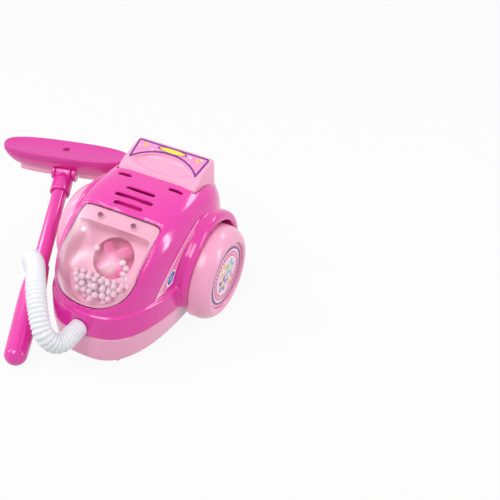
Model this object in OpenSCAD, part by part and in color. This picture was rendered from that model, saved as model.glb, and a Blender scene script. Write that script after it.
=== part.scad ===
// Toy canister vacuum cleaner with a clear bead window, two big wheels, a ribbed hose and a wand
// Units are millimetres, Z is up, the nose points to -Y and the floor lies at z = 0
// The origin is the floor point under the middle of the wheel axle

/* [Body] */
// Width of the moulded body without the wheels
body_w = 94; // [90:1:98]
// Axle to the tip of the nose
nose_l = 97; // [93:1:103]
// Axle to the tail
tail_l = 60; // [56:1:64]
// Height of the crown of the hood above the floor
crown_h = 98.5; // [96:0.5:102]
// Height of the parting line between hood and base
parting_h = 27; // [25:0.5:29]
// Wall thickness of the mouldings
wall = 2; // [1.6:0.1:2.4]

/* [Window] */
// Width of the clear cover
win_w = 62; // [56:1:64]
// Length of the clear cover down the slope
win_l = 69; // [64:1:71]
// How far the clear cover swells above its rim
win_swell = 1.6; // [0.6:0.2:2.4]

/* [Wheels] */
// Diameter of a rear wheel
wheel_d = 73; // [68:1:76]
// Width of a rear wheel
wheel_w = 18.5; // [17:0.5:20]
// Diameter of the steel axle
axle_d = 4; // [3:0.5:5]

/* [Hose and wand] */
// Outer diameter of the ribbed hose
hose_d = 14; // [12:0.5:15]
// Distance from rib to rib
hose_pitch = 2.9; // [2.6:0.1:3.6]
// Diameter of the wand tube
tube_d = 12; // [11:0.5:13]
// Thickness of the hand grip
grip_d = 16.6; // [15:0.2:18]

/* [Nozzle] */
// Length of the floor nozzle
nozzle_l = 103; // [96:1:106]
// Width of the floor nozzle
nozzle_w = 26.4; // [24:0.4:28]
// Depth of the nozzle from its sole to its back
nozzle_h = 16; // [14:0.5:18]

/* [Hidden] */

hot_pink = "#e8359f";
pale_pink = "#f7b3d2";
white = "#f4f5f7";
clear = "#f3dfe9";
steel = "#b9bcc0";
label_pink = "#f49ac8";
copper = "#c8a04a";

// cuts run this far past what they cut
overrun = 1;
// gap between seated mouldings
seat = 0.3;
// radial running clearance of a shaft
run_gap = 0.05;
// round pieces are drawn with this many sides where they become facets
fine = 48;
coarse = 24;
arch_sides = 60;

// hood and base
half_w = body_w / 2;
ground_gap = 4;
plan_n = 2.8;
side_n = 5;
nose_n = 2.3;
tail_n = 3;
turns = 48;
levels = 11;
ledge_w = 2.5;
ledge_rise = 18.5;
ledge_h = parting_h + ledge_rise;
ledge_round = 1;
skirt_draft = 0.7;
base_flare = 5;
base_toe = 1;
base_round = 2.5;
base_steps = 3;
base_floor = ground_gap + wall;
foot_x = 21;
foot_set = 14;
foot_y = foot_set - nose_l;
foot_r = 2.6;

// wheels and axle
axle_z = wheel_d / 2;
well_in = 1;
well_x = half_w - well_in;
well_gap = 2;
well_r = wheel_d / 2 + well_gap;
wheel_gap = 1.5;
wheel_in = well_x + wheel_gap;
wheel_out = wheel_in + wheel_w;
arch_band = 7.7;
arch_r = well_r + arch_band;
arch_out = 6.5;
arch_lip_x = half_w + arch_out;
arch_deep = 14;
arch_root_x = half_w - arch_deep;
arch_slope = 2.2;
arch_lip_w = 3.4;
arch_flat = 4.5;
arch_turn = 1.5;
hub_bore = axle_d / 2 + run_gap;
hub_wall = 3;
hub_r = axle_d / 2 + hub_wall;
hub_sink = 6.5;
hub_face = wheel_out - hub_sink;
tyre_wall = 2;
web = 2;
rim_w = 10.9;
cap_r = wheel_d / 2 - rim_w;
cap_sink = 4.3;
cap_seat = wheel_out - cap_sink;
cap_t = 2;
cap_face = cap_seat + seat + cap_t;
label_edge = 2.4;
label_r = cap_r - label_edge;
label_t = 0.25;
clip_r = 4;
clip_t = 1.2;
axle_stub = 0.6;
axle_end = hub_face + seat + clip_t + axle_stub;
tyre_edge = 8;
post_x = 36;
post_t = 4;
post_w = 12;
post_over = 6;

// window frame: origin at the middle of its top edge, -Y runs down the slope, Z stands out of it
win_set = 58.2;
win_y = win_set - nose_l;
win_drop = 5.9;
win_z = crown_h - win_drop;
win_tilt = 38.6;
win_mid = 35;
win_turns = 40;
win_top_n = 16;
win_low_n = 2.4;
win_rings = 6;
cover_t = 1.5;
cover_sink = 0.4;
cover_gap = 0.5;
tray_wall = 1.6;
tray_shelf = 10;
tray_drop = 1.3;
shelf_shares = [0, 0.35, 0.7, 1];
tray_floor = -15;
probe_low = -40;
probe_high = 30;
probe_steps = 22;
win_screw_x = 13.3;
win_screw_v = 6;
win_screw_lean = -23;
win_screw_l = 11;
win_head_r = 2;
win_head_h = 1;

// fan and motor, in the window frame
fan_v = 29;
fan_hole_r = 15.6;
fan_r = 14.4;
fan_hub_r = 3.6;
fan_hub_l = 9;
fan_proud = 3;
fan_top = tray_floor + fan_proud;
blade_t = 1.3;
blade_w = 9;
blade_pitch = 56;
shaft_r = 1;
shroud_depth = 9;
shroud_wall = 1.6;
shroud_top = tray_floor - tray_wall - seat;
shroud_back = shroud_top - shroud_depth;
motor_r = 10;
motor_l = 22;
motor_front = shroud_back - seat;
motor_nose_r = 3;
motor_nose_l = 1.4;
sleeve_l = 12;

// foam beads heaped at the foot of the tray
bead_r = 2.5;
bead_step = 5.3;
bead_rows = 5;
bead_cols = 6;
bead_layers = 2;
bead_v = 46;
bead_edge = 12;

// screws
screw_head_r = 2.7;
screw_head_h = 1.8;
screw_r = 1.3;
screw_gap = 0.2;
case_spots = [[30, -56], [-30, -56], [25, 41], [-25, 41]];
case_screw_l = 30;
post_bore = 16;
boss_r = 4;

// battery bay in the base
cell_r = 7.25;
cell_l = 50.5;
cell_x = 8;
cell_y = 5;
cell_lift = 0.6;
cell_z = base_floor + cell_r + cell_lift;
cell_nub_r = 2.7;
cell_nub_l = 1;
bay_w = 35;
bay_wall = 1.6;
bay_h = 12;
door_w = 31;
door_spare = 5.5;
door_l = cell_l + door_spare;
bay_spare = 4;
bay_l = door_l + bay_spare;
door_lug_w = 12;
door_lug_l = 3;
door_lug_t = 1.4;
contact_t = 0.5;
contact_w = 11;
door_thin = 0.2;
door_t = wall - door_thin;
door_tab = 3.5;
door_screw_y = cell_y + door_l / 2 + door_tab;
door_screw_l = 9;
door_sink = 1;

// switch under the nose
switch_y = -55;
switch_slot_w = 6;
switch_slot_l = 11.5;
switch_travel = 4;
knob_w = 5.2;
knob_l = 6.6;
knob_drop = 1.6;
stem_w = 2.4;
stem_l = 3.4;
stem_h = 3;
switch_w = 13;
switch_l = 19;
switch_h = 6;

// tail block
block_w = 65;
block_y = [6, 6, 8.4, 14.4, 34.9, 37.6, 38.5, 38.5];
block_sunk = 14.5;
block_foot = crown_h - block_sunk;
block_z = [0, 12.6, 15.6, 18.6, 23.9, 23, 20.8, -8];
block_end_shares = [0.88, 0.96, 1];
block_end_in = [0, 0.7, 2.4];
block_taper_share = 0.045;
block_mid_y = 22;
block_mid_drop = 6.5;
block_mid = [block_mid_y, crown_h - block_mid_drop];
block_front = 9;
scoop_w = 50;
scoop_h = 23;
scoop_d = 5;
scoop_y = 12;
scoop_rise = 1.2;
scoop_z = crown_h + scoop_rise;
tail_label_w = 58;
tail_label_l = 20;
tail_label_slope = 14.5;
tail_label_arch = 12;

// slots over the window: half length, middle x and y of each
slot_w = 3.8;
slots = [[10, 0, -14.8], [13.5, 0, -23.8], [9.9, 0, -32.3], [3.9, -21, -1.5], [3.9, 21, -1.5]];
slot_depth = 20;

// wand: it leans with its foot on the floor, local X runs from the foot to the nozzle
// its place is taken from the left wheel, which it has to pass
wand_in = 27.5;
wand_ahead = 83.7;
wand_foot = [wand_in - wheel_out, -wand_ahead - wheel_d / 2, grip_d / 2];
wand_tilt = 16.3;
wand_turn = 111.7;
grip_mid = 47;
grip_swell = 1.1;
grip_top = 76;
grip_end_wall = 1.3;
grip_end_r = tube_d / 2 + grip_end_wall;
tube_from = 66;
tube_to = 158.5;
tube_wall = 1.5;
port_at = 64;
port_rise = 8.4;
spigot_wall = 1.4;
spigot_l = 9;
collar_from = 147;
collar_to = 161;
collar_wall = 2;
collar_r = tube_d / 2 + collar_wall;
hinge_at = 169;
barrel_r = 7;
barrel_w = 12.4;
neck_r = 5.6;
pin_r = 1.5;
cheek_t = 2.8;
cheek_gap = 0.4;

// nozzle: lies sole up, its hinge line is the origin of its frame
nozzle_turn = 16.6;
nozzle_back = 6.7;
nozzle_n = 2.7;
nozzle_turns = 40;
sole_lift = 2.3;
sole_top = nozzle_h + sole_lift;
sole_t = 6;
sole_in = 0.8;
boat_in = 0.7;
boat_taper_l = 7;
boat_taper_w = 4.2;
boat_wall = 1.8;
boat_n = 1.6;
boat_shares = [0, 0.12, 0.35, 0.65];
boat_over_share = 1.2;
sole_screw_sink = 2.4;
sole_screw_l = 6.2;
sole_screw_bite = 3.6;
pad_from = 11.5;
pad_to = 38;
pad_h = 5.6;
pad_in = 1.2;

// hose: straight ends of one diameter, a bow between them through these points
port_gap = 0.4;
port_lift = 6.2;
hose_port = [0, -nose_l - port_gap, parting_h + port_lift];
hose_wall = 2;
rib_h = 0.8;
hose_sides = 12;
hose_bow = [[-52, -76, 57.5], [-42, -86, 62.5], [-30, -102, 63], [-19, -116, 57], [-9, -125, 46],
  [-3, -121.5, 36]];
hose_samples = 16;

// shape helpers
function spow(v, p) = sign(v) * pow(abs(v), p);
function curve_share(q, n) = pow(1 - pow(q, n), 1 / n);
function plan_pt(t, w, f, b) =
  [w * spow(cos(t), 2 / plan_n), (sin(t) < 0 ? f : b) * spow(sin(t), 2 / plan_n)];
function plan_ring(inset, z) = [for (i = [0:turns - 1])
  let (p = plan_pt(360 * i / turns, half_w - inset, nose_l - inset, tail_l - inset)) [p.x, p.y, z]];
function skirt_ring(inset, drop) = [for (i = [0:turns - 1])
  let (p = plan_pt(360 * i / turns, half_w - inset, nose_l - inset, tail_l - inset))
  [p.x, p.y, ledge_h - drop]];
function dome_ring(off, q) = let (r = ledge_w + off) [for (i = [0:turns - 1])
  let (p = plan_pt(360 * i / turns, (half_w - r) * curve_share(q, side_n),
      (nose_l - r) * curve_share(q, nose_n), (tail_l - r) * curve_share(q, tail_n)),
    b = ledge_h - off)
  [p.x, p.y, b + q * (crown_h - off - b)]];
function in_dome(p) = let (q = max(0, (p.z - ledge_h) / (crown_h - ledge_h)))
  q < 1 && pow(abs(p.x) / ((half_w - ledge_w) * curve_share(q, side_n)), plan_n)
    + pow(abs(p.y) / (p.y < 0 ? (nose_l - ledge_w) * curve_share(q, nose_n)
      : (tail_l - ledge_w) * curve_share(q, tail_n)), plan_n) < 1;
function level_share(k) = pow(sin(90 * k / levels), 2 / nose_n);
function base_ring(off, k) = let (a = 90 * k / base_steps, rise = base_round * (1 - cos(a)),
    z = ground_gap + off + rise, up = (z - ground_gap) / (parting_h - ground_gap),
    in_x = off + base_flare * (1 - up) + base_round * (1 - sin(a)),
    in_y = off + base_toe * (1 - up) + base_round * (1 - sin(a)))
  [for (i = [0:turns - 1])
    let (p = plan_pt(360 * i / turns, half_w - in_x, nose_l - in_y, tail_l - in_y)) [p.x, p.y, z]];
function win_ring(inset, top_inset, share) = [for (i = [0:win_turns - 1])
  let (t = 360 * i / win_turns, n = sin(t) < 0 ? win_top_n : win_low_n,
    l = sin(t) < 0 ? win_mid - top_inset : win_l - win_mid - inset)
  [share * (win_w / 2 - inset) * spow(cos(t), 2 / n), win_mid + share * l * spow(sin(t), 2 / n)]];
function win_pt(x, v, h) =
  [x, win_y - v * cos(win_tilt) - h * sin(win_tilt), win_z - v * sin(win_tilt) + h * cos(win_tilt)];
function hood_h(x, v, lo = probe_low, hi = probe_high, k = probe_steps) = let (m = (lo + hi) / 2)
  k == 0 ? m : in_dome(win_pt(x, v, m)) ? hood_h(x, v, m, hi, k - 1) : hood_h(x, v, lo, m, k - 1);
function cover_pt(p, share, drop) =
  [p.x, -p.y, hood_h(p.x, p.y) - cover_sink + win_swell * (1 - share * share) - drop];
function cover_ring(share, drop) = [for (p = win_ring(0, 0, share)) cover_pt(p, share, drop)];

// closed skin over rings of equal count, with flat caps or end points
module skin(rings, foot = [], tip = []) {
  n = len(rings[0]);
  m = len(rings);
  ends = [foot == [] ? rings[0][0] : foot, tip == [] ? rings[0][0] : tip];
  pts = concat([for (r = rings) each r], ends);
  sides = [for (r = [0:m - 2], i = [0:n - 1]) let (a = r * n + i, b = r * n + (i + 1) % n)
    each [[a, a + n, b + n], [a, b + n, b]]];
  low = foot == [] ? [[for (i = [0:n - 1]) i]] : [for (i = [0:n - 1]) [i, (i + 1) % n, m * n]];
  top0 = (m - 1) * n;
  top = tip == [] ? [[for (i = [n - 1:-1:0]) top0 + i]]
    : [for (i = [0:n - 1]) [top0 + i, m * n + 1, top0 + (i + 1) % n]];
  polyhedron(points = foot == [] && tip == [] ? [for (r = rings) each r] : pts,
    faces = concat(sides, low, top));
}

wand_axis = [cos(wand_tilt) * cos(wand_turn), cos(wand_tilt) * sin(wand_turn), sin(wand_tilt)];
wand_up = [-sin(wand_tilt) * cos(wand_turn), -sin(wand_tilt) * sin(wand_turn), cos(wand_tilt)];
hinge = wand_foot + hinge_at * wand_axis;

module win_frame() translate([0, win_y, win_z]) rotate([win_tilt, 0, 0]) children();
module fan_frame() win_frame() translate([0, -fan_v, 0]) children();
module wand_frame() translate(wand_foot) rotate([0, -wand_tilt, wand_turn]) children();
module nozzle_frame() translate(hinge) rotate([0, 0, nozzle_turn]) children();
module on_side(s) mirror([s < 0 ? 1 : 0, 0, 0]) children();
// a round bar along X from one place to another
module bar_x(r, from, to) translate([from, 0, 0]) rotate([0, 90, 0]) cylinder(r = r, h = to - from);
module box_at(x, y, z, w, l, h) translate([x - w / 2, y - l / 2, z]) cube([w, l, h]);
module screw(l) {
  cylinder(r = screw_head_r, h = screw_head_h);
  translate([0, 0, screw_head_h]) cylinder(r = screw_r, h = l - screw_head_h);
}

// hood
module hood_skin(off, foot_z) skin(concat([plan_ring(off, foot_z)],
  [skirt_ring(off + skirt_draft, off + ledge_round), skirt_ring(off + skirt_draft + ledge_round, off)],
  [for (k = [0:levels - 1]) dome_ring(off, level_share(k))]), tip = [0, 0, crown_h - off]);

module arch_step(inset, w, to) translate([well_r - overrun + inset, arch_root_x])
  square([w, to - arch_root_x]);

// wheel arch: a ring round the axle whose outer edge rounds off to a lip
module arch(s, inset) on_side(s) translate([0, 0, axle_z]) rotate([0, 90, 0])
  rotate_extrude($fn = arch_sides) hull() {
    arch_step(inset, arch_band + overrun - inset * 2, arch_lip_x - arch_flat - inset);
    arch_step(inset, arch_band - inset - arch_slope, arch_lip_x - arch_turn - inset);
    arch_step(inset, arch_lip_w - inset, arch_lip_x - inset);
  }

module well_bodies(r, from) for (s = [-1, 1]) on_side(s)
  translate([from, 0, axle_z]) rotate([0, 90, 0]) cylinder(r = r, h = half_w, $fn = arch_sides);

module above(z) translate([-body_w, -nose_l * 2, z]) cube([body_w * 2, nose_l * 4, crown_h * 2]);

module slot_cut(l, x, y) hull() for (e = [-l, l])
  translate([x + e, y, crown_h - slot_depth]) cylinder(d = slot_w, h = slot_depth * 2, $fn = coarse);

module win_cut() win_frame() translate([0, 0, probe_low / 2]) linear_extrude(height = probe_high * 2)
  hull() polygon([for (p = win_ring(-cover_gap, -cover_gap, 1)) [p.x, -p.y]]);

module block_cut() box_at(0, (block_y[0] + block_y[7]) / 2, block_foot - probe_high, block_w + seat * 2,
  block_y[7] - block_y[0] + seat * 2, probe_high * 3);

module upper_shell() color(hot_pink) difference() {
  union() {
    difference() {
      union() {
        hood_skin(0, parting_h);
        intersection() {
          for (s = [-1, 1]) arch(s, 0);
          above(parting_h);
        }
      }
      difference() {
        union() {
          hood_skin(wall, parting_h - overrun);
          for (s = [-1, 1]) arch(s, wall);
        }
        well_bodies(well_r + wall, well_x - wall);
      }
    }
    intersection() {
      for (p = case_spots) translate([p.x, p.y, parting_h])
        cylinder(r = boss_r, h = crown_h, $fn = coarse);
      hood_skin(wall / 2, parting_h);
    }
  }
  well_bodies(well_r, well_x);
  win_cut();
  block_cut();
  for (s = slots) slot_cut(s[0], s[1], s[2]);
  for (p = case_spots) translate([p.x, p.y, parting_h - overrun])
    cylinder(r = screw_r + screw_gap, h = post_bore, $fn = coarse);
  for (s = [-1, 1]) on_side(s) translate([well_x - wall * 2, -axle_d / 2 - seat, parting_h - overrun])
    cube([wall * 3, axle_d + seat * 2, axle_z - parting_h + axle_d / 2 + seat + overrun]);
  translate(hose_port) rotate([-90, 0, 0]) translate([0, 0, -wall])
    cylinder(r = hose_bore, h = wall * 5, $fn = coarse);
}

// base
module base_skin(off, top_z)
  skin(concat([for (k = [0:base_steps]) base_ring(off, k)], [plan_ring(off, top_z)]));

module bay_walls() difference() {
  box_at(0, cell_y, ground_gap, bay_w + bay_wall * 2, bay_l + bay_wall * 2, bay_h);
  box_at(0, cell_y, ground_gap - overrun, bay_w, bay_l, bay_h + overrun * 2);
}

module base_pan() color(pale_pink) difference() {
  union() {
    difference() {
      base_skin(0, parting_h);
      base_skin(wall, parting_h + overrun);
    }
    intersection() {
      base_skin(0, parting_h);
      for (s = [-1, 1]) on_side(s) translate([well_x - wall, -well_r, ground_gap])
        cube([wall + half_w - well_x, well_r * 2, parting_h - ground_gap]);
    }
    bay_walls();
    for (s = [-1, 1]) box_at(s * post_x, 0, ground_gap, post_t, post_w, axle_z + post_over - ground_gap);
    for (p = case_spots) translate([p.x, p.y, ground_gap])
      cylinder(r = boss_r, h = parting_h - ground_gap - seat);
    for (s = [-1, 1]) translate([s * foot_x, foot_y, 0]) cylinder(r = foot_r, h = base_floor);
    translate([0, door_screw_y, base_floor + seat]) cylinder(r = boss_r, h = bay_h - wall - seat);
  }
  well_bodies(well_r, well_x);
  translate([0, 0, axle_z]) bar_x(hub_bore, -half_w, half_w);
  box_at(0, cell_y, ground_gap - overrun, door_w, door_l, wall + overrun + seat);
  translate([0, door_screw_y, ground_gap - overrun]) {
    cylinder(r = boss_r + seat, h = wall + overrun + seat);
    cylinder(r = screw_r + screw_gap, h = bay_h);
  }
  for (p = case_spots) translate([p.x, p.y, ground_gap - overrun]) {
    cylinder(r = screw_r + screw_gap, h = parting_h);
    cylinder(r = screw_head_r + screw_gap, h = screw_head_h + overrun * 3);
  }
  box_at(0, switch_y, ground_gap - overrun, switch_slot_w, switch_slot_l, wall + overrun * 2);
}

// tail block with the scoop and its label
function block_ring(x, share) = [for (i = [7:-1:0])
  let (y = block_mid.x + share * (block_y[i] - block_mid.x), z0 = block_foot + block_z[i],
    z = block_mid.y + share * (z0 - block_mid.y))
  [x * (1 - block_taper_share * (z - block_foot) / block_z[4]), y, z]];

module block_skin() skin(concat(
  [for (k = [0:2]) block_ring(-block_w / 2 + block_end_in[k], block_end_shares[k])],
  [for (k = [2:-1:0]) block_ring(block_w / 2 - block_end_in[k], block_end_shares[k])]));

module tail_block() color(pale_pink) difference() {
  block_skin();
  translate([-block_w / 2 + wall * 2, 0, 0]) rotate([90, 0, 90]) linear_extrude(height = block_w - wall * 4)
    polygon([[block_y[0] + block_front, block_foot - overrun],
      [block_y[0] + block_front, block_foot + block_z[2] - wall],
      [block_y[4], block_foot + block_z[4] - wall * 1.5], [block_y[6] - wall, block_foot + block_z[6] - wall],
      [block_y[6] - wall, block_foot + block_z[7] - overrun]]);
  translate([0, scoop_y - scoop_d, scoop_z]) rotate([tail_label_slope * 2, 0, 0])
    resize([scoop_w, scoop_h, scoop_d * 2]) sphere(r = scoop_d, $fn = coarse);
}

module tail_label() color(label_pink) translate([0, block_y[3], block_foot + block_z[3]])
  rotate([tail_label_slope, 0, 0]) linear_extrude(height = label_t) difference() {
    translate([-tail_label_w / 2, overrun / 2]) square([tail_label_w, tail_label_l]);
    circle_r = (pow(tail_label_w / 2 - overrun, 2) + pow(tail_label_arch, 2)) / (2 * tail_label_arch);
    translate([0, tail_label_arch - circle_r]) circle(r = circle_r, $fn = fine * 4);
  }

// window cover, tray, fan and motor
module window_cover() color(clear) win_frame() difference() {
  shares = [for (k = [1:win_rings]) k / win_rings];
  skin(concat([for (s = shares) cover_ring(s, cover_t)],
      [for (k = [win_rings - 1:-1:0]) cover_ring(shares[k], 0)]),
    foot = cover_pt([0, win_mid], 0, cover_t), tip = cover_pt([0, win_mid], 0, 0));
  win_screw_spots() translate([0, 0, -boss_r]) cylinder(r = screw_r + screw_gap, h = boss_r * 2);
}

// the screws stand square to the cover, which leans against the window plane here
module win_screw_spots() {
  near = (win_mid - win_screw_v) / win_mid;
  for (s = [-1, 1]) translate(cover_pt([s * win_screw_x, win_screw_v], near, 0))
    rotate([win_screw_lean, 0, 0]) children();
}

module window_screws() color(steel) win_frame() win_screw_spots() {
  translate([0, 0, seat / 3]) cylinder(r = win_head_r, h = win_head_h);
  translate([0, 0, -win_screw_l]) cylinder(r = screw_r, h = win_screw_l + seat);
}

module bead_tray() color(pale_pink) win_frame() difference() {
  drop = cover_sink + cover_t + tray_drop;
  skin(concat([tray_low(seat, 0, tray_floor - tray_wall)],
    [for (k = shelf_shares) tray_rim(seat + tray_wall * k, tray_shelf * k, drop)],
    [tray_low(seat + tray_wall, tray_shelf, tray_floor)]));
  translate([0, -fan_v, tray_floor - tray_wall - overrun])
    cylinder(r = fan_hole_r, h = tray_wall + overrun * 2);
  win_screw_spots() translate([0, 0, -win_screw_l - overrun])
    cylinder(r = screw_r + screw_gap, h = win_screw_l * 2);
}
function tray_low(inset, top_inset, h) = [for (p = win_ring(inset, inset + top_inset, 1)) [p.x, -p.y, h]];
function tray_rim(inset, top_inset, drop) =
  [for (p = win_ring(inset, inset + top_inset, 1)) [p.x, -p.y, hood_h(p.x, p.y) - drop]];

module fan_shroud() color(hot_pink) fan_frame() rotate_extrude($fn = fine) polygon([
  [motor_nose_r + seat, shroud_back], [motor_nose_r + seat, shroud_back + shroud_wall],
  [fan_hole_r, shroud_back + shroud_wall], [fan_hole_r, shroud_top], [fan_hole_r + shroud_wall, shroud_top],
  [fan_hole_r + shroud_wall, shroud_back], [motor_r + seat + shroud_wall, shroud_back],
  [motor_r + seat + shroud_wall, shroud_back - sleeve_l], [motor_r + seat, shroud_back - sleeve_l],
  [motor_r + seat, shroud_back]]);

module fan() color(hot_pink) fan_frame() difference() {
  union() {
    translate([0, 0, fan_top - fan_hub_l]) cylinder(r = fan_hub_r, h = fan_hub_l);
    for (a = [45:90:315]) rotate([0, 0, a]) translate([fan_hub_r - overrun, 0, fan_top - fan_hub_l / 2])
      rotate([blade_pitch, 0, 0]) translate([0, -blade_t / 2, -blade_w / 2])
        cube([fan_r - fan_hub_r, blade_t, blade_w]);
  }
  translate([0, 0, fan_top - fan_hub_l - overrun]) cylinder(r = shaft_r, h = fan_hub_l);
}

module motor_shaft() color(steel) fan_frame() translate([0, 0, motor_front - motor_l / 2])
  cylinder(r = shaft_r, h = fan_top - overrun - motor_front + motor_l / 2);

module motor() color(steel) fan_frame() difference() {
  union() {
    translate([0, 0, motor_front - motor_l]) cylinder(r = motor_r, h = motor_l);
    translate([0, 0, motor_front - overrun]) cylinder(r = motor_nose_r, h = overrun + motor_nose_l);
    translate([0, 0, motor_front - motor_l - motor_nose_l])
      cylinder(r = motor_nose_r, h = motor_nose_l + overrun);
  }
  translate([0, 0, motor_front - motor_l / 2 - overrun]) cylinder(r = shaft_r + run_gap, h = motor_l);
}

function bead_fits(x, v) =
  norm([x / (win_w / 2), (v - win_mid) / (win_l - win_mid)]) < 1 - bead_edge / win_l;
module foam_beads() color(white) win_frame()
  for (k = [0:bead_layers - 1], r = [k:bead_rows - 1], c = [-bead_cols:bead_cols]) {
    x = (c + (r % 2) / 2) * bead_step;
    v = bead_v + (r - k / 3) * bead_step * sin(60);
    if (bead_fits(x, v)) translate([x, -v, tray_floor + bead_r + seat / 3 + k * bead_step * sin(60)])
      sphere(r = bead_r);
  }

// running gear
module wheel(s) color(pale_pink) on_side(s) translate([0, 0, axle_z]) rotate([0, 90, 0])
  rotate_extrude($fn = fine * 2) {
    r = wheel_d / 2;
    edge = tyre_edge;
    polygon(concat([[hub_bore, wheel_in + seat], [hub_r, wheel_in + seat], [hub_r, hub_face - web],
        [r - tyre_wall - web, hub_face - web], [r - tyre_wall, hub_face - web * 2], [r - tyre_wall, wheel_in],
        [r - web / 2, wheel_in], [r, wheel_in + web / 2]],
      [for (a = [0:15:90]) [r - edge + edge * cos(a), wheel_out - edge + edge * sin(a)]],
      [[cap_r + web / 2, wheel_out - web / 4], [cap_r + seat, wheel_out - web / 2], [cap_r + seat, cap_seat],
        [cap_r - web, cap_seat], [cap_r - web, hub_face], [hub_bore, hub_face]]));
  }
module left_wheel() wheel(-1);
module right_wheel() wheel(1);

module hub_cap(s) color(pale_pink) on_side(s) translate([0, 0, axle_z])
  bar_x(cap_r, cap_face - cap_t, cap_face);
module left_hub_cap() hub_cap(-1);
module right_hub_cap() hub_cap(1);

module hub_label(s) color(label_pink) on_side(s) translate([0, 0, axle_z])
  bar_x(label_r, cap_face, cap_face + label_t);
module left_hub_label() hub_label(-1);
module right_hub_label() hub_label(1);

module axle() color(steel) translate([0, 0, axle_z]) bar_x(axle_d / 2, -axle_end, axle_end);

module axle_clips() color(steel) for (s = [-1, 1]) on_side(s) translate([0, 0, axle_z]) difference() {
  bar_x(clip_r, hub_face + seat, hub_face + seat + clip_t);
  bar_x(hub_bore, hub_face, hub_face + clip_t * 2);
}

// underside
module battery_door() color(pale_pink) difference() {
  union() {
    box_at(0, cell_y, ground_gap, door_w - seat * 2, door_l - seat * 2, door_t);
    translate([0, door_screw_y, ground_gap]) cylinder(r = boss_r, h = door_t);
    lug_y = cell_y - door_l / 2 + seat + overrun;
    box_at(0, lug_y, ground_gap, door_lug_w, overrun * 2, wall + seat + door_lug_t);
    box_at(0, lug_y + overrun - door_lug_l / 2, base_floor + seat, door_lug_w, door_lug_l, door_lug_t);
  }
  translate([0, door_screw_y, ground_gap - overrun]) {
    cylinder(r = screw_r + screw_gap, h = wall * 2);
    cylinder(r = screw_head_r + screw_gap, h = overrun + door_sink);
  }
}

module door_screw() color(steel)
  translate([0, door_screw_y, ground_gap + door_sink - screw_head_h]) screw(door_screw_l);

module batteries() color(copper) for (s = [-1, 1]) translate([s * cell_x, cell_y, cell_z])
  rotate([s * 90, 0, 0]) translate([0, 0, -cell_l / 2]) {
    cylinder(r = cell_r, h = cell_l - cell_nub_l);
    cylinder(r = cell_nub_r, h = cell_l);
  }

module battery_contacts() color(steel) for (s = [-1, 1], e = [-1, 1])
  box_at(s * cell_x, cell_y + e * (cell_l / 2 + contact_t / 2 + seat / 3), cell_z - contact_w / 2,
    contact_w, contact_t, contact_w);

module switch_body() color(steel) difference() {
  box_at(0, switch_y, base_floor + seat, switch_w, switch_l, switch_h);
  box_at(0, switch_y, base_floor - overrun, stem_w + seat * 2, stem_l + switch_travel + seat * 2,
    stem_h + overrun + seat * 3);
}

module switch_knob() color(hot_pink) {
  box_at(0, switch_y - switch_travel / 2, ground_gap - knob_drop, knob_w, knob_l, wall + knob_drop);
  box_at(0, switch_y - switch_travel / 2, ground_gap, stem_w, stem_l, wall + seat + stem_h);
}

module case_screws() color(steel) for (p = case_spots)
  translate([p.x, p.y, ground_gap + overrun * 2]) screw(case_screw_l);

// hose and its spigot
hose_bore = hose_d / 2 - hose_wall;
spigot_r = hose_bore - seat;
wand_port = wand_foot + port_at * wand_axis;
hose_from = wand_port + port_rise * wand_up;
hose_knee = hose_from + hose_d * wand_up;
hose_out = hose_port - [0, hose_d, 0];
hose_pts = concat([hose_knee], hose_bow, [hose_out]);
hose_n = len(hose_pts);
hose_slopes = [for (i = [0:hose_n - 1])
  i == 0 ? wand_up * norm(hose_pts[1] - hose_pts[0])
  : i == hose_n - 1 ? [0, 1, 0] * norm(hose_pts[i] - hose_pts[i - 1])
  : (hose_pts[i + 1] - hose_pts[i - 1]) / 2];
function hermite(i, t) = (1 + 2 * t) * pow(1 - t, 2) * hose_pts[i] + t * pow(1 - t, 2) * hose_slopes[i]
  + t * t * (3 - 2 * t) * hose_pts[i + 1] + t * t * (t - 1) * hose_slopes[i + 1];
hose_line = concat([hose_from],
  [for (i = [0:hose_n - 2], k = [0:hose_samples - 1]) hermite(i, k / hose_samples)],
  [hose_out, hose_port]);
function run_length(i) = i == 0 ? 0 : run_length(i - 1) + norm(hose_line[i] - hose_line[i - 1]);
hose_runs = [for (i = [0:len(hose_line) - 1]) run_length(i)];
hose_len = hose_runs[len(hose_runs) - 1];
function on_line(s, axis) = lookup(s, [for (i = [0:len(hose_line) - 1]) [hose_runs[i], hose_line[i][axis]]]);
function hose_pt(s) = [on_line(s, 0), on_line(s, 1), on_line(s, 2)];
function unit(v) = v / norm(v);
rib_count = round(hose_len / hose_pitch);
rib_stops = [for (k = [0:rib_count * 2]) hose_len * k / (rib_count * 2)];
probe = hose_pitch / 2;
rib_dirs = [for (s = rib_stops) unit(hose_pt(min(hose_len, s + probe)) - hose_pt(max(0, s - probe)))];
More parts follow.
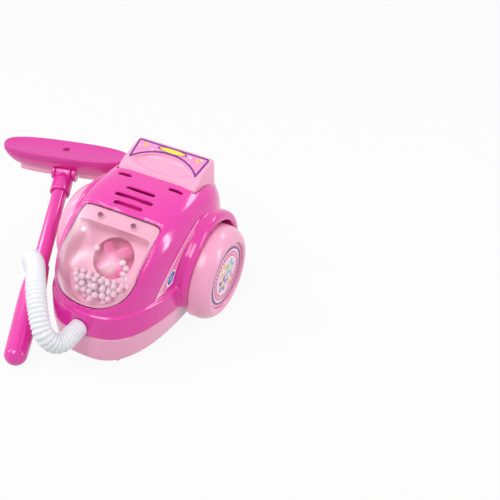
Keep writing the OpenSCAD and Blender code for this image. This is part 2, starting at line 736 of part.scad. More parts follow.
// side vectors carried along the line so that the rings do not twist
function carried(i) = i == 0 ? unit(cross(rib_dirs[0], [0, 1, 0]))
  : let (v = carried(i - 1)) unit(v - (v * rib_dirs[i]) * rib_dirs[i]);
module hose() color(white) {
  sides = [for (i = [0:len(rib_stops) - 1]) carried(i)];
  out = [for (i = [0:len(rib_stops) - 1]) hose_ring(i, sides[i], hose_d / 2 - (i % 2) * rib_h)];
  inn = [for (i = [0:len(rib_stops) - 1]) hose_ring(i, sides[i], hose_bore / cos(180 / hose_sides))];
  n = hose_sides;
  m = len(rib_stops);
  skin_pts = concat([for (r = out) each r], [for (r = inn) each r]);
  far = m * n;
  faces = concat(
    [for (r = [0:m - 2], i = [0:n - 1]) let (a = r * n + i, b = r * n + (i + 1) % n)
      each [[a, a + n, b + n], [a, b + n, b],
        [far + a, far + b + n, far + a + n], [far + a, far + b, far + b + n]]],
    [for (e = [0, m - 1], i = [0:n - 1]) let (a = e * n + i, b = e * n + (i + 1) % n)
      each e == 0 ? [[a, b, far + b], [a, far + b, far + a]] : [[a, far + b, b], [a, far + a, far + b]]]);
  polyhedron(points = skin_pts, faces = faces);
  echo(hose_length_mm = hose_len, ribs = rib_count);
}
function hose_ring(i, v, r) = let (p = hose_pt(rib_stops[i]), w = cross(rib_dirs[i], v))
  [for (k = [0:hose_sides - 1]) let (a = 360 * k / hose_sides) p + r * (cos(a) * v + sin(a) * w)];

module hose_spigot() color(hot_pink) translate(hose_port) rotate([-90, 0, 0]) difference() {
  union() {
    translate([0, 0, -spigot_l]) cylinder(r = spigot_r, h = spigot_l + wall * 2);
    translate([0, 0, wall + seat * 4]) cylinder(r = hose_d / 2, h = wall);
  }
  translate([0, 0, -spigot_l - overrun]) cylinder(r = spigot_r - spigot_wall, h = spigot_l + wall * 4);
}

// wand
module wand_grip() color(hot_pink) wand_frame() difference() {
  union() {
    hull() {
      sphere(r = grip_d / 2, $fn = coarse);
      translate([grip_mid, 0, 0]) resize([grip_d, grip_d + grip_swell * 2, grip_d])
        sphere(r = grip_d / 2, $fn = coarse);
      translate([grip_top - overrun, 0, 0]) rotate([0, 90, 0])
        cylinder(r = grip_end_r, h = overrun, $fn = coarse);
    }
    translate([port_at, 0, 0]) cylinder(r = spigot_r, h = port_rise + spigot_l);
  }
  bar_x(tube_d / 2 + run_gap, tube_from, grip_top + overrun);
  bar_x(spigot_r - spigot_wall, port_at, tube_from + overrun);
  translate([port_at, 0, 0]) cylinder(r = spigot_r - spigot_wall, h = port_rise + spigot_l + overrun);
}

module wand_tube() color(hot_pink) wand_frame() difference() {
  bar_x(tube_d / 2, tube_from + seat, tube_to);
  bar_x(tube_d / 2 - tube_wall, tube_from - overrun, tube_to + overrun);
}

module nozzle_collar() color(hot_pink) {
  difference() {
    union() {
      wand_frame() bar_x(collar_r, collar_from, collar_to);
      wand_frame() bar_x(neck_r, collar_to - overrun, hinge_at);
      nozzle_frame() bar_x(barrel_r, -barrel_w / 2, barrel_w / 2);
    }
    wand_frame() bar_x(tube_d / 2 + run_gap, collar_from - overrun, tube_to + seat);
    nozzle_frame() bar_x(pin_r + run_gap, -barrel_w, barrel_w);
  }
}

// nozzle
half_gap = barrel_w / 2 + cheek_gap;
cheek_out = half_gap + cheek_t;
module nozzle_pin() color(steel) nozzle_frame() bar_x(pin_r, -cheek_out, cheek_out);

function noz_ring(l_in, w_in, z) = [for (i = [0:nozzle_turns - 1]) let (t = 360 * i / nozzle_turns)
  [(nozzle_l / 2 - l_in) * spow(cos(t), 2 / nozzle_n),
    nozzle_back + (nozzle_w / 2 - w_in) * spow(sin(t), 2 / nozzle_n), z]];
boat_low = sole_top - nozzle_h;
boat_top = sole_top - sole_t;
function boat_ring(off, up) = let (q = max(0, 1 - up), d = boat_in + off)
  noz_ring(d + boat_taper_l * pow(q, boat_n), d + boat_taper_w * pow(q, boat_n),
    boat_low + off + up * (boat_top - boat_low - off));
module boat_skin(off, top_up)
  skin(concat([for (u = boat_shares) boat_ring(off, u)], [boat_ring(off, top_up)]));

module nozzle_head() color(hot_pink) nozzle_frame() difference() {
  union() {
    difference() {
      boat_skin(0, 1);
      boat_skin(boat_wall, boat_over_share);
    }
    intersection() {
      boat_skin(0, 1);
      box_at(0, 0, boat_low, cheek_out * 2, (barrel_r + cheek_t) * 2, boat_top - boat_low - seat);
    }
    for (s = [-1, 1]) on_side(s) {
      bar_x(barrel_r - overrun / 2, half_gap, cheek_out);
      translate([half_gap, -barrel_r + overrun / 2, 0])
        cube([cheek_t, barrel_r * 2 - overrun, boat_low + boat_wall]);
    }
    translate([0, nozzle_back + barrel_r, boat_low]) cylinder(r = boss_r, h = boat_top - boat_low - seat);
  }
  room = nozzle_w + barrel_r + cheek_gap;
  translate([-half_gap, -nozzle_w, -nozzle_w]) cube([half_gap * 2, room, room]);
  bar_x(pin_r + run_gap / 2, -cheek_out - overrun, cheek_out + overrun);
  translate([0, nozzle_back, boat_top - sole_screw_bite]) cylinder(r = screw_r + screw_gap, h = sole_t);
}

module nozzle_sole() color(hot_pink) nozzle_frame() difference() {
  skin([noz_ring(boat_in, boat_in, boat_top + seat), noz_ring(0, 0, boat_top + seat + sole_in),
    noz_ring(0, 0, sole_top - sole_in), noz_ring(sole_in, sole_in, sole_top)]);
  translate([0, nozzle_back, boat_top]) cylinder(r = screw_r + screw_gap, h = sole_t * 2);
  translate([0, nozzle_back, sole_top - screw_head_h - seat - sole_screw_sink])
    cylinder(r = screw_head_r + screw_gap, h = sole_t);
}

module nozzle_screw() color(steel) nozzle_frame()
  translate([0, nozzle_back, sole_top - seat - sole_screw_sink]) rotate([180, 0, 0]) screw(sole_screw_l);

module nozzle_pads() color(pale_pink) nozzle_frame() for (s = [-1, 1]) on_side(s)
  translate([0, 0, boat_low - pad_h]) linear_extrude(height = pad_h) intersection() {
    edge = noz_ring(boat_in + boat_taper_l + pad_in, boat_in + boat_taper_w + pad_in, 0);
    polygon([for (p = edge) [p.x, p.y]]);
    translate([pad_from, nozzle_back - nozzle_w]) square([pad_to - pad_from, nozzle_w * 2]);
  }

upper_shell();
base_pan();
tail_block();
window_cover();
window_screws();
bead_tray();
fan_shroud();
fan();
motor();
motor_shaft();
foam_beads();
axle();
axle_clips();
left_wheel();
right_wheel();
left_hub_cap();
right_hub_cap();
left_hub_label();
right_hub_label();
battery_door();
door_screw();
batteries();
battery_contacts();
switch_body();
switch_knob();
case_screws();
hose_spigot();
hose();
wand_grip();
wand_tube();
nozzle_collar();
nozzle_pin();
nozzle_head();
nozzle_sole();
nozzle_screw();
nozzle_pads();
tail_label();
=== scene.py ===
# %% [markdown]
# # A toy vacuum cleaner in pink plastic
# The imported CAD model gives the bodies and the nodes. We load it first. The finished toy must not grow out of
# it. The sizes below repeat those of the CAD part or refine them. They are written in millimetres, as on a
# maker's drawing, and turned into Blender's metres when a mesh is made.

# %% Load the frame
import bpy, bmesh, math, random
import numpy as np
from mathutils import Matrix, Vector


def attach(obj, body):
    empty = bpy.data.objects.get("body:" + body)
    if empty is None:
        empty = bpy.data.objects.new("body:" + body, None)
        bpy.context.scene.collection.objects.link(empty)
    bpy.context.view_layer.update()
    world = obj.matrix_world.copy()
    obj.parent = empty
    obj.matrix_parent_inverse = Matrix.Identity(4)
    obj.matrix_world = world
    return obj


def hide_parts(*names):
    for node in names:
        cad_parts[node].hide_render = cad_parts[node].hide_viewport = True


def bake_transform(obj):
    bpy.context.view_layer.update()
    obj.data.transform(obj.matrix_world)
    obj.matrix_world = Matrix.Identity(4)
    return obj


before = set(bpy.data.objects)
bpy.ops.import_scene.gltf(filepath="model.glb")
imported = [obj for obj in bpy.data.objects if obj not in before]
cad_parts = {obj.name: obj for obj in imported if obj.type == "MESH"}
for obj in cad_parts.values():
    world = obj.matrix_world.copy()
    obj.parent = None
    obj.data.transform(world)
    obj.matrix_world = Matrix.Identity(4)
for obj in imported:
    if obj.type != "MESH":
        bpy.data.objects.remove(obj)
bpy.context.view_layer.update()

mm = 0.001

# %% [markdown]
# ## Camera
# The photo looks down on the toy from the front, on the side of its right wheel. A camera could be aimed by
# hand until it looks right. Here its turn and rise were chosen by how well mirrored points of the toy agree.
# The toy stands left of the middle of the picture, so the camera is turned aside and has no lens shift.

# %% Camera
turn, rise, distance = math.radians(30.5), math.radians(37.5), 700.0
picture_px, focal_px, sensor_mm = 500, 910.0, 36.0
lands_at, aim = (151.36, 248.88), np.array([0.0, 0.0, 36.5])
off_x, off_y = lands_at[0] - picture_px / 2, picture_px / 2 - lands_at[1]
back = np.array([math.sin(turn) * math.cos(rise), -math.cos(turn) * math.cos(rise), math.sin(rise)])
right = np.array([math.cos(turn), math.sin(turn), 0.0])
aside = -math.atan2(off_x, focal_px)
tip = math.atan2(off_y, math.hypot(focal_px, off_x))
swing = np.array([[math.cos(aside), 0, math.sin(aside)], [0, 1, 0], [-math.sin(aside), 0, math.cos(aside)]])
nod = np.array([[1, 0, 0], [0, math.cos(tip), -math.sin(tip)], [0, math.sin(tip), math.cos(tip)]])
facing = swing @ nod @ np.stack([right, np.cross(back, right), back])
camera = bpy.data.objects.new("camera", bpy.data.cameras.new("camera"))
bpy.context.scene.collection.objects.link(camera)
camera.data.lens, camera.data.sensor_width = sensor_mm * focal_px / picture_px, sensor_mm
camera.data.clip_start = 0.01
placed = np.eye(4)
placed[:3, :3] = facing.T
placed[:3, 3] = (aim + back * distance) * mm
camera.matrix_world = Matrix(placed.tolist())
bpy.context.scene.camera = camera
bpy.context.scene.view_settings.view_transform = "Standard"
print("camera stands at", placed[:3, 3].round(3))

# %% [markdown]
# ## Making meshes
# Moulded toys are mostly lofts: a closed outline that changes as it climbs. One helper joins rings of points
# into a skin, one spins a profile round an axis, and a third turns points and faces into an object. Normals
# are made to point outwards in one place, so no piece has to worry about the order of its rings. A spun piece
# starts slightly off the axis, because a boolean stumbles where edges of two pieces meet exactly.

# %% Mesh helpers
def put(name, points, faces, crease=40):
    shape = bpy.data.meshes.new(name)
    shape.from_pydata([tuple(p) for p in np.asarray(points, float) * mm], [], faces)
    work = bmesh.new()
    work.from_mesh(shape)
    bmesh.ops.remove_doubles(work, verts=work.verts, dist=1e-7)
    bmesh.ops.recalc_face_normals(work, faces=work.faces)
    work.to_mesh(shape)
    work.free()
    shape.shade_smooth()
    if crease:
        shape.set_sharp_from_angle(angle=math.radians(crease))
    piece = bpy.data.objects.new(name, shape)
    bpy.context.scene.collection.objects.link(piece)
    return piece


def band_faces(rows, count, rows_loop, ring_loops, start=0):
    steps = range(rows if rows_loop else rows - 1)
    spots = range(count if ring_loops else count - 1)
    return [(start + r * count + i, start + r * count + (i + 1) % count,
             start + (r + 1) % rows * count + (i + 1) % count, start + (r + 1) % rows * count + i)
            for r in steps for i in spots]


def loft(name, rings, foot=None, top=None, loop=False, crease=40):
    rings = np.asarray(rings, float)
    rows, across = rings.shape[:2]
    points = [tuple(p) for p in rings.reshape(-1, 3)]
    faces = band_faces(rows, across, loop, True)
    for row, point in ((0, foot), (rows - 1, top)):
        if loop:
            continue
        edge = [row * across + i for i in range(across)]
        if point is None:
            faces.append(tuple(edge))
        else:
            points.append(tuple(point))
            faces += [(edge[i], edge[(i + 1) % across], len(points) - 1) for i in range(across)]
    return put(name, points, faces, crease)


off_axis, near_axis = 0.0137, 0.01


def spin(name, profile, to_place, sides=96, crease=40):
    turns = np.linspace(0, 2 * np.pi, sides, endpoint=False) + off_axis
    rings = [np.stack([r * np.cos(turns), r * np.sin(turns), np.full(sides, h)], 1) for r, h in profile]
    return loft(name, [to_place(ring) for ring in rings], loop=True, crease=crease)


def plug(name, radius, start, stop, to_place, sides):
    profile = [(near_axis, start), (radius, start), (radius, stop), (near_axis, stop)]
    return spin(name, profile, to_place, sides, 0)


def arc(centre, radius, start, stop, count=9):
    turns = np.radians(np.linspace(start, stop, count))
    return [(centre[0] + radius[0] * math.cos(t), centre[1] + radius[1] * math.sin(t)) for t in turns]


def sharpen(piece, crease):
    piece.data.shade_smooth()
    piece.data.set_sharp_from_angle(angle=math.radians(crease))


def settle(piece):
    bpy.context.view_layer.update()
    old = piece.data
    shape = bpy.data.meshes.new_from_object(piece.evaluated_get(bpy.context.evaluated_depsgraph_get()))
    piece.modifiers.clear()
    piece.data = shape
    bpy.data.meshes.remove(old)
    shape.name = piece.name


def work_with(piece, tool, how):
    step = piece.modifiers.new(how, "BOOLEAN")
    step.operation, step.solver, step.object = how, "EXACT", tool
    settle(piece)
    bpy.data.objects.remove(tool)
    return piece


def mould(piece, grain, passes):
    cast = piece.modifiers.new("cast", "REMESH")
    cast.mode, cast.voxel_size = "VOXEL", grain * mm
    ease = piece.modifiers.new("ease", "SMOOTH")
    ease.factor, ease.iterations = 0.5, passes
    settle(piece)
    piece.data.shade_smooth()
    print(piece.name, "moulded with", len(piece.data.polygons), "faces")
    return piece


box_faces = [(0, 1, 3, 2), (4, 6, 7, 5), (0, 4, 5, 1), (2, 3, 7, 6), (0, 2, 6, 4), (1, 5, 7, 3)]


def block(name, low, high):
    (a, b, c), (d, e, f) = low, high
    corners = [(x, y, z) for x in (a, d) for y in (b, e) for z in (c, f)]
    return put(name, corners, box_faces, 0)


print("mesh helpers ready")

# %% [markdown]
# ## The hose
# The hose of the real toy is a soft white corrugated tube, pushed over a spigot in the nose at one end and
# over a stub on the hand grip at the other. A bevelled curve would give a smooth pipe, so the tube is made
# ring by ring: the radius rises and falls with every rib and the ribs fade out into the plain cuffs.

# %% The route of the hose
wand_tilt, wand_turn = math.radians(16.3), math.radians(111.7)
wand_foot = np.array([-38.5, -120.2, 8.3])
wand_level = np.array([math.cos(wand_turn), math.sin(wand_turn), 0.0])
wand_along = math.cos(wand_tilt) * wand_level + [0, 0, math.sin(wand_tilt)]
wand_up = -math.sin(wand_tilt) * wand_level + [0, 0, math.cos(wand_tilt)]
wand_side = np.cross(wand_up, wand_along)
hose_d, rib_pitch, bow_steps = 14.0, 2.9, 16
stub_at, stub_lift, port_z = 64, 8.4, 33.2
hose_start = wand_foot + stub_at * wand_along + stub_lift * wand_up
hose_end = np.array([0.0, -97.4, port_z])
bow = np.array([hose_start + hose_d * wand_up, [-52, -76, 57.5], [-42, -86, 62.5], [-30, -102, 63],
                [-19, -116, 57], [-9, -125, 46], [-3, -121.5, 36], hose_end - [0, hose_d, 0]])
slopes = np.zeros_like(bow)
slopes[1:-1] = (bow[2:] - bow[:-2]) / 2
slopes[0] = wand_up * np.linalg.norm(bow[1] - bow[0])
slopes[-1] = np.array([0, 1, 0]) * np.linalg.norm(bow[-1] - bow[-2])
route = [hose_start]
for i in range(len(bow) - 1):
    for t in np.arange(bow_steps) / bow_steps:
        route.append((1 + 2 * t) * (1 - t) ** 2 * bow[i] + t * (1 - t) ** 2 * slopes[i]
                     + t * t * (3 - 2 * t) * bow[i + 1] + t * t * (t - 1) * slopes[i + 1])
route = np.array(route + [bow[-1], hose_end])
runs = np.r_[0, np.cumsum(np.linalg.norm(np.diff(route, axis=0), axis=1))]
hose_length = runs[-1]
print("hose is", round(hose_length, 1), "mm long")

# %% The ribbed tube
def along_hose(s):
    return np.stack([np.interp(s, runs, route[:, k]) for k in range(3)], -1)


ribs = round(hose_length / rib_pitch)
rib_depth, rib_rings, hose_sides, look = 0.85, 10, 40, 1.6
nose_cuff, grip_cuff, cuff_fade, cuff_depth, hose_slack = 6.5, 3, 1.5, 0.35, 0.05
stops = np.linspace(0, hose_length, ribs * rib_rings + 1)
ways = along_hose(np.minimum(stops + look, hose_length)) - along_hose(np.maximum(stops - look, 0))
ways /= np.linalg.norm(ways, axis=1)[:, None]
side = np.cross(ways[0], [0, 1, 0])
hose_rings = []
around = np.linspace(0, 2 * np.pi, hose_sides, endpoint=False)
for s, way, middle in zip(stops, ways, along_hose(stops)):
    side = side - way * np.dot(side, way)
    side /= np.linalg.norm(side)
    nose_part, grip_part = (hose_length - nose_cuff - s) / cuff_fade, (s - grip_cuff) / cuff_fade
    cuff = min(1.0, max(0.0, nose_part), max(0.0, grip_part))
    groove = abs(math.cos(math.pi * s * ribs / hose_length)) ** 3
    radius = hose_d / 2 - hose_slack - rib_depth * groove * cuff - cuff_depth * (1 - cuff)
    circle = np.cos(around)[:, None] * side + np.sin(around)[:, None] * np.cross(way, side)
    hose_rings.append(middle + radius * circle)
hose = loft("ribbed_hose", hose_rings, crease=0)
print("hose has", ribs, "ribs and", len(hose.data.polygons), "faces")

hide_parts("hose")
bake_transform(hose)
print("hose leaves the nose at", (hose_end * mm).round(4))

# %% [markdown]
# ## Shader maths in plain Python
# Mixing colours node by node soon becomes a web of wires. A small class wraps a socket so that sums and
# products of sockets read like sums and products of numbers, and each one adds its Math node. Every other
# kind of node comes from one method that takes its settings first and then the values or wires of its
# sockets.

# %% A wire between nodes
class Wire:
    def __init__(self, tree, socket=None):
        self.tree, self.socket = tree, socket

    def node(self, kind, settings=None, sockets=None, out=0):
        made = self.tree.nodes.new("ShaderNode" + kind)
        for name, value in (settings or {}).items():
            setattr(made, name, value)
        for name, value in (sockets or {}).items():
            if isinstance(value, Wire):
                self.tree.links.new(value.socket, made.inputs[name])
            else:
                made.inputs[name].default_value = value
        return Wire(self.tree, made.outputs[out] if made.outputs else None)

    def sum(self, how, *terms):
        return self.node("Math", {"operation": how}, dict(enumerate(terms)))

    def __add__(self, other):
        return self.sum("ADD", self, other)

    def __radd__(self, other):
        return self.sum("ADD", other, self)

    def __sub__(self, other):
        return self.sum("SUBTRACT", self, other)

    def __rsub__(self, other):
        return self.sum("SUBTRACT", other, self)

    def __mul__(self, other):
        return self.sum("MULTIPLY", self, other)

    def __rmul__(self, other):
        return self.sum("MULTIPLY", other, self)

    def __truediv__(self, other):
        return self.sum("DIVIDE", self, other)

    def __pow__(self, other):
        return self.sum("POWER", self, other)

    def __abs__(self):
        return self.sum("ABSOLUTE", self)

    def above(self, edge, soft):
        return self.node("MapRange", {"interpolation_type": "SMOOTHSTEP"},
                         {"Value": self, "From Min": edge - soft, "From Max": edge + soft})

    def below(self, edge, soft):
        return 1 - self.above(edge, soft)

    def band(self, low, high, soft):
        return self.above(low, soft) * self.below(high, soft)

    def dot(self, way):
        return self.node("VectorMath", {"operation": "DOT_PRODUCT"}, {0: self, 1: way}, "Value")


def blend(mask, under, over):
    sockets = {0: mask, 6: under, 7: over}
    return mask.node("Mix", {"data_type": "RGBA"}, sockets, 2)


def ink(red, green, blue):
    levels = [v / 255 for v in (red, green, blue)]
    return tuple(c / 12.92 if c < 11 / 255 else ((c + 0.055) / 1.055) ** 2.4 for c in levels) + (1,)


print("wires ready; white is", ink(255, 255, 255))

# %% [markdown]
# ## Plastics
# The shell is glossy injection-moulded plastic. A single colour and a single roughness look like computer
# graphics, so the colour drifts slightly over centimetres, the gloss changes over millimetres and a very
# fine bump breaks up the highlights as the polished steel of a mould does.

# %% Moulded plastic
def new_finish(name):
    finish = bpy.data.materials.new(name)
    finish.use_nodes = True
    finish.node_tree.nodes.clear()
    return finish, Wire(finish.node_tree)


def place_on(wire):
    return wire.node("TexCoord", None, None, "Object")


def surface(wire, sockets):
    shade = wire.node("BsdfPrincipled", None, sockets)
    wire.node("OutputMaterial", None, {"Surface": shade})


def shades(colour, share):
    return tuple(min(1.0, c * share) for c in colour[:3]) + (1,)


def plastic(name, colour, gloss, coat=0.0, drift=0.05, bump=0.05):
    finish, wire = new_finish(name)
    place = place_on(wire)
    cloud = wire.node("TexNoise", None, {"Vector": place, "Scale": 22.0, "Detail": 3.0})
    fine = wire.node("TexNoise", None, {"Vector": place, "Scale": 650.0, "Detail": 2.0})
    scuffs = wire.node("TexNoise", None, {"Vector": place, "Scale": 95.0, "Detail": 5.0, "Roughness": 0.7})
    tone = blend(cloud, shades(colour, 1 - drift), shades(colour, 1 + drift))
    tone = blend(scuffs.above(0.66, 0.05) * 0.006, tone, (1, 1, 1, 1))
    rough = gloss - 0.03 + 0.06 * fine + 0.02 * scuffs.above(0.6, 0.1)
    grain = wire.node("Bump", None, {"Strength": bump, "Distance": 0.0004, "Height": fine})
    surface(wire, {"Base Color": tone, "Roughness": rough, "Normal": grain, "Coat Weight": coat,
                   "Coat Roughness": 0.06, "IOR": 1.5})
    return finish


hot_pink = plastic("hot_pink_moulding", ink(230, 46, 166), 0.16, 0.35)
pale_pink = plastic("pale_pink_moulding", ink(248, 170, 204), 0.26, 0.15, 0.02, 0.01)
# The fan and its housing are hot pink plastic; this lighter copy of the hot pink is painted light that
# brightens them in the shade behind the window.
fan_painted_light_pink = plastic("fan_painted_light_pink_moulding", ink(240, 104, 178), 0.32)
# The tray is pale pink plastic; this lighter copy is painted light, standing in for the light that comes
# through its translucent walls into the shaded window. The side stickers reuse it as their pale backing.
tray_painted_light_pink = plastic("tray_painted_light_pink_moulding", ink(253, 206, 224), 0.3, 0.1, 0.03, 0.02)
hose_white = plastic("hose_white", ink(230, 232, 237), 0.42, 0.0, 0.015, 0.08)
sole_pink = plastic("sole_pink_moulding", ink(216, 60, 160), 0.42)
dark_plastic = plastic("dark_inner_plastic", ink(62, 56, 62), 0.45)
hose.data.materials.append(hose_white)
print("plastics", [m.name for m in bpy.data.materials if "moulding" in m.name])

# %% [markdown]
# ## Clear cover, foam, steel and cells
# The window is thin clear styrene. Real glass shading blocks the lamps and leaves the beads in the dark, so
# the cover is a mix of a tinted see-through shader and a gloss layer, with more gloss where it is seen at a
# slant. Foam beads are matt with small cells. The axle and the screws under the toy are drawn steel, and the
# screws of the window and of the nozzle are lacquered.

# %% Clear styrene
clear_cover, wire = new_finish("clear_styrene")
place = place_on(wire)
haze = wire.node("TexNoise", None, {"Vector": place, "Scale": 60.0, "Detail": 4.0})
slant = wire.node("LayerWeight", None, {"Blend": 0.15}, "Fresnel")
through = wire.node("BsdfTransparent", None, {"Color": (0.985, 0.92, 0.95, 1)})
gloss = wire.node("BsdfPrincipled", None, {"Base Color": (0.97, 0.93, 0.95, 1), "Metallic": 1.0,
                                           "Roughness": 0.22 + 0.08 * haze})
mixed = wire.node("MixShader", None, {"Fac": 0.055 + 0.5 * slant, 1: through, 2: gloss})
wire.node("OutputMaterial", None, {"Surface": mixed})
print("clear cover ready")

# %% Foam, steel and the rest
foam, wire = new_finish("foam_beads")
place = place_on(wire)
cells = wire.node("TexVoronoi", None, {"Vector": place, "Scale": 1500.0})
tone = blend(cells, ink(255, 250, 252), ink(246, 234, 240))
relief = wire.node("Bump", None, {"Strength": 0.35, "Distance": 0.0002, "Height": cells})
surface(wire, {"Base Color": tone, "Roughness": 0.55 + 0.2 * cells, "Normal": relief})


def drawn_steel(name, colour, gloss):
    finish, wire = new_finish(name)
    place = place_on(wire)
    streak = wire.node("TexNoise", None, {"Vector": place, "Scale": 700.0, "Detail": 3.0})
    surface(wire, {"Base Color": blend(streak, shades(colour, 0.85), colour), "Metallic": 1.0,
                   "Roughness": gloss + 0.15 * streak})
    return finish


steel = drawn_steel("drawn_steel", ink(190, 193, 198), 0.22)
screw_lacquer = plastic("screw_lacquer", ink(158, 98, 124), 0.36)
cell_jacket = plastic("cell_jacket", ink(196, 160, 76), 0.3)
print("finishes", len(bpy.data.materials))

# %% [markdown]
# ## Fitting a piece to the toy
# Every piece rides on a body of the CAD model, and most stand for one CAD node, which is then hidden. One
# helper says all of that in a line, so a cell that makes a piece also says where it belongs.

# %% Fit helper
def fit(piece, body, finish, slot, *nodes):
    piece.data.materials.clear()
    piece.data.materials.append(finish)
    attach(piece, body)
    if nodes:
        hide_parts(*nodes)
    return piece


print("fit helper ready")

# %% [markdown]
# ## The shape of the hood
# The hood is a dome over an outline that is rounder than a box and boxier than an ellipse, a superellipse. It
# could be sculpted, but then it would drift away from the CAD part. The same few formulas are used here with
# many more rings. A bumper ledge runs level round it, and the top is flatter across than it is along.

# %% Hood formulas
half_w, nose_l, tail_l, crown_h, parting_h = 47.0, 97.0, 60.0, 98.5, 27.0
ledge_z, ledge_w = parting_h + 18.5, 2.5
side_round, nose_round, tail_round, plan_round = 5.0, 2.3, 3.0, 2.8
wall, bumper_in, bumper_round, seam_in, seam_down = 2.0, 0.6, 1.4, 2.3, 0.5
dome_rings = 61
turns = np.linspace(0, 2 * np.pi, 288, endpoint=False)


def root(value, power):
    return np.sign(value) * np.abs(value) ** power


def plan(wide, nose, tail):
    c, s = np.cos(turns), np.sin(turns)
    return wide * root(c, 2 / plan_round), np.where(s < 0, nose, tail) * root(s, 2 / plan_round)


def swell(q, power):
    return (1 - q ** power) ** (1 / power)


def flat_ring(inset, z):
    x, y = plan(half_w - inset, nose_l - inset, tail_l - inset)
    return np.stack([x, y, np.full_like(x, z)], 1)


def dome_ring(off, q):
    r = ledge_w + off
    x, y = plan((half_w - r) * swell(q, side_round), (nose_l - r) * swell(q, nose_round),
                (tail_l - r) * swell(q, tail_round))
    return np.stack([x, y, np.full_like(x, ledge_z - off + q * (crown_h - ledge_z))], 1)


def hood_skin(name, off, foot_z):
    bumper = [flat_ring(off + bumper_in + bumper_round * (1 - math.cos(a)),
                        ledge_z - off - bumper_round * (1 - math.sin(a)))
              for a in np.radians([0, 22, 45, 67, 90])]
    levels = [math.sin(math.pi / 2 * k / dome_rings) ** (2 / nose_round) for k in range(dome_rings)]
    rings = [flat_ring(off, foot_z)] + bumper + [flat_ring(off + seam_in, ledge_z - off - seam_down)]
    return loft(name, rings + [dome_ring(off, q) for q in levels], top=(0, 0, crown_h - off), crease=0)


print("ledge", ledge_z, "mm over the floor, hood", 2 * half_w, "mm wide")

# %% [markdown]
# ## The hood itself
# A moulder would cut the wheel wells, the window, the slots and the pocket for the tail block into the steel.
# We cut them with exact booleans, then cast the whole hood again as small voxels and ease it a little. That
# gives every edge the small round that a mould leaves, which bevels cannot do on edges as tangled as these. A
# shallow box under the air slots keeps light out of the body. A stepped rim runs round the window, so we need
# to know how high the dome stands there: for any point of the window plane we search along its normal.

# %% Tools that cut the hood
axle_z, well_r, well_x, well_end, well_tight = 36.5, 38.5, 46.0, 90, 1
arch_shift, drum_sides = [0, 3.0, 2.5], 160


def at_axle(side_sign):
    return lambda p: np.stack([side_sign * p[:, 2], p[:, 0], axle_z + p[:, 1]], 1)


def drum(name, s, radius, start, stop):
    t = np.linspace(0, 2 * np.pi, drum_sides, endpoint=False) + off_axis
    rim = radius * np.cos(t), radius * np.sin(t)
    rings = [np.stack([*rim, np.full(drum_sides, h)], 1) for h in (start, stop)]
    return loft(name, [at_axle(s)(ring) for ring in rings], crease=0)


arch_line = [(36.0, 33), (36.0, 52.4), (39.8, 52.4), (40.7, 52.1), (41.5, 51.4), (42.1, 50.4), (42.5, 49.2),
             (42.6, 48.0), (42.6, 33)]


def wheel_arch(s):
    return spin("arch", arch_line, lambda p: at_axle(s)(p) + arch_shift, drum_sides, 0)


past_x, past_y, past_z = 80, 120, 40


def below_parting():
    return block("below", (-past_x, -past_y, -past_z), (past_x, past_y, parting_h))


window_tilt, window_y, window_z = math.radians(38.6), 58.2 - nose_l, crown_h - 5.9
window_w, window_l, window_mid = 62.0, 69.0, 35.0
top_power, low_power = 16, 2.4


def at_window(p):
    p = np.asarray(p, float)
    c, s = math.cos(window_tilt), math.sin(window_tilt)
    return np.stack([p[:, 0], window_y - p[:, 1] * c - p[:, 2] * s, window_z - p[:, 1] * s + p[:, 2] * c], 1)


def window_ring(inset, top_inset, share, count=160):
    t = np.linspace(0, 2 * np.pi, count, endpoint=False)
    power = np.where(np.sin(t) < 0, 2 / top_power, 2 / low_power)
    reach = np.where(np.sin(t) < 0, window_mid - top_inset, window_l - window_mid - inset)
    return np.stack([share * (window_w / 2 - inset) * root(np.cos(t), power),
                     window_mid + share * reach * root(np.sin(t), power)], 1)


def with_height(flat, h):
    return at_window(np.c_[flat, np.broadcast_to(h, len(flat))])


baffle_z, slot_top, slot_r = 91.4, 118.0, 1.9


def slot_cutter(half, x, y):
    bead = np.radians(np.r_[np.linspace(-90, 90, 9), np.linspace(90, 270, 9)])
    mid = np.r_[np.full(9, x + half), np.full(9, x - half)]
    ring = np.stack([mid + slot_r * np.cos(bead), y + slot_r * np.sin(bead)], 1)
    return [np.c_[ring, np.full(len(ring), z)] for z in (baffle_z, slot_top)]


print("window tilts", round(math.degrees(window_tilt), 1), "degrees")

# %% Height of the dome under the window
def in_dome(p):
    q = np.clip((p[:, 2] - ledge_z) / (crown_h - ledge_z), 0, 0.99999)
    nose, tail = (nose_l - ledge_w) * swell(q, nose_round), (tail_l - ledge_w) * swell(q, tail_round)
    deep = np.where(p[:, 1] < 0, nose, tail)
    wide = (half_w - ledge_w) * swell(q, side_round)
    return (np.abs(p[:, 0]) / wide) ** plan_round + (np.abs(p[:, 1]) / deep) ** plan_round < 1


def dome_height(flat):
    low, high = np.full(len(flat), -40.0), np.full(len(flat), 30.0)
    for _ in range(24):
        mid = (low + high) / 2
        inside = in_dome(at_window(np.c_[flat, mid]))
        low, high = np.where(inside, mid, low), np.where(inside, high, mid)
    return low


middle_height = dome_height(np.array([[0.0, window_mid]]))[0]
print("dome stands", round(float(middle_height), 2), "mm over the window plane at its middle")

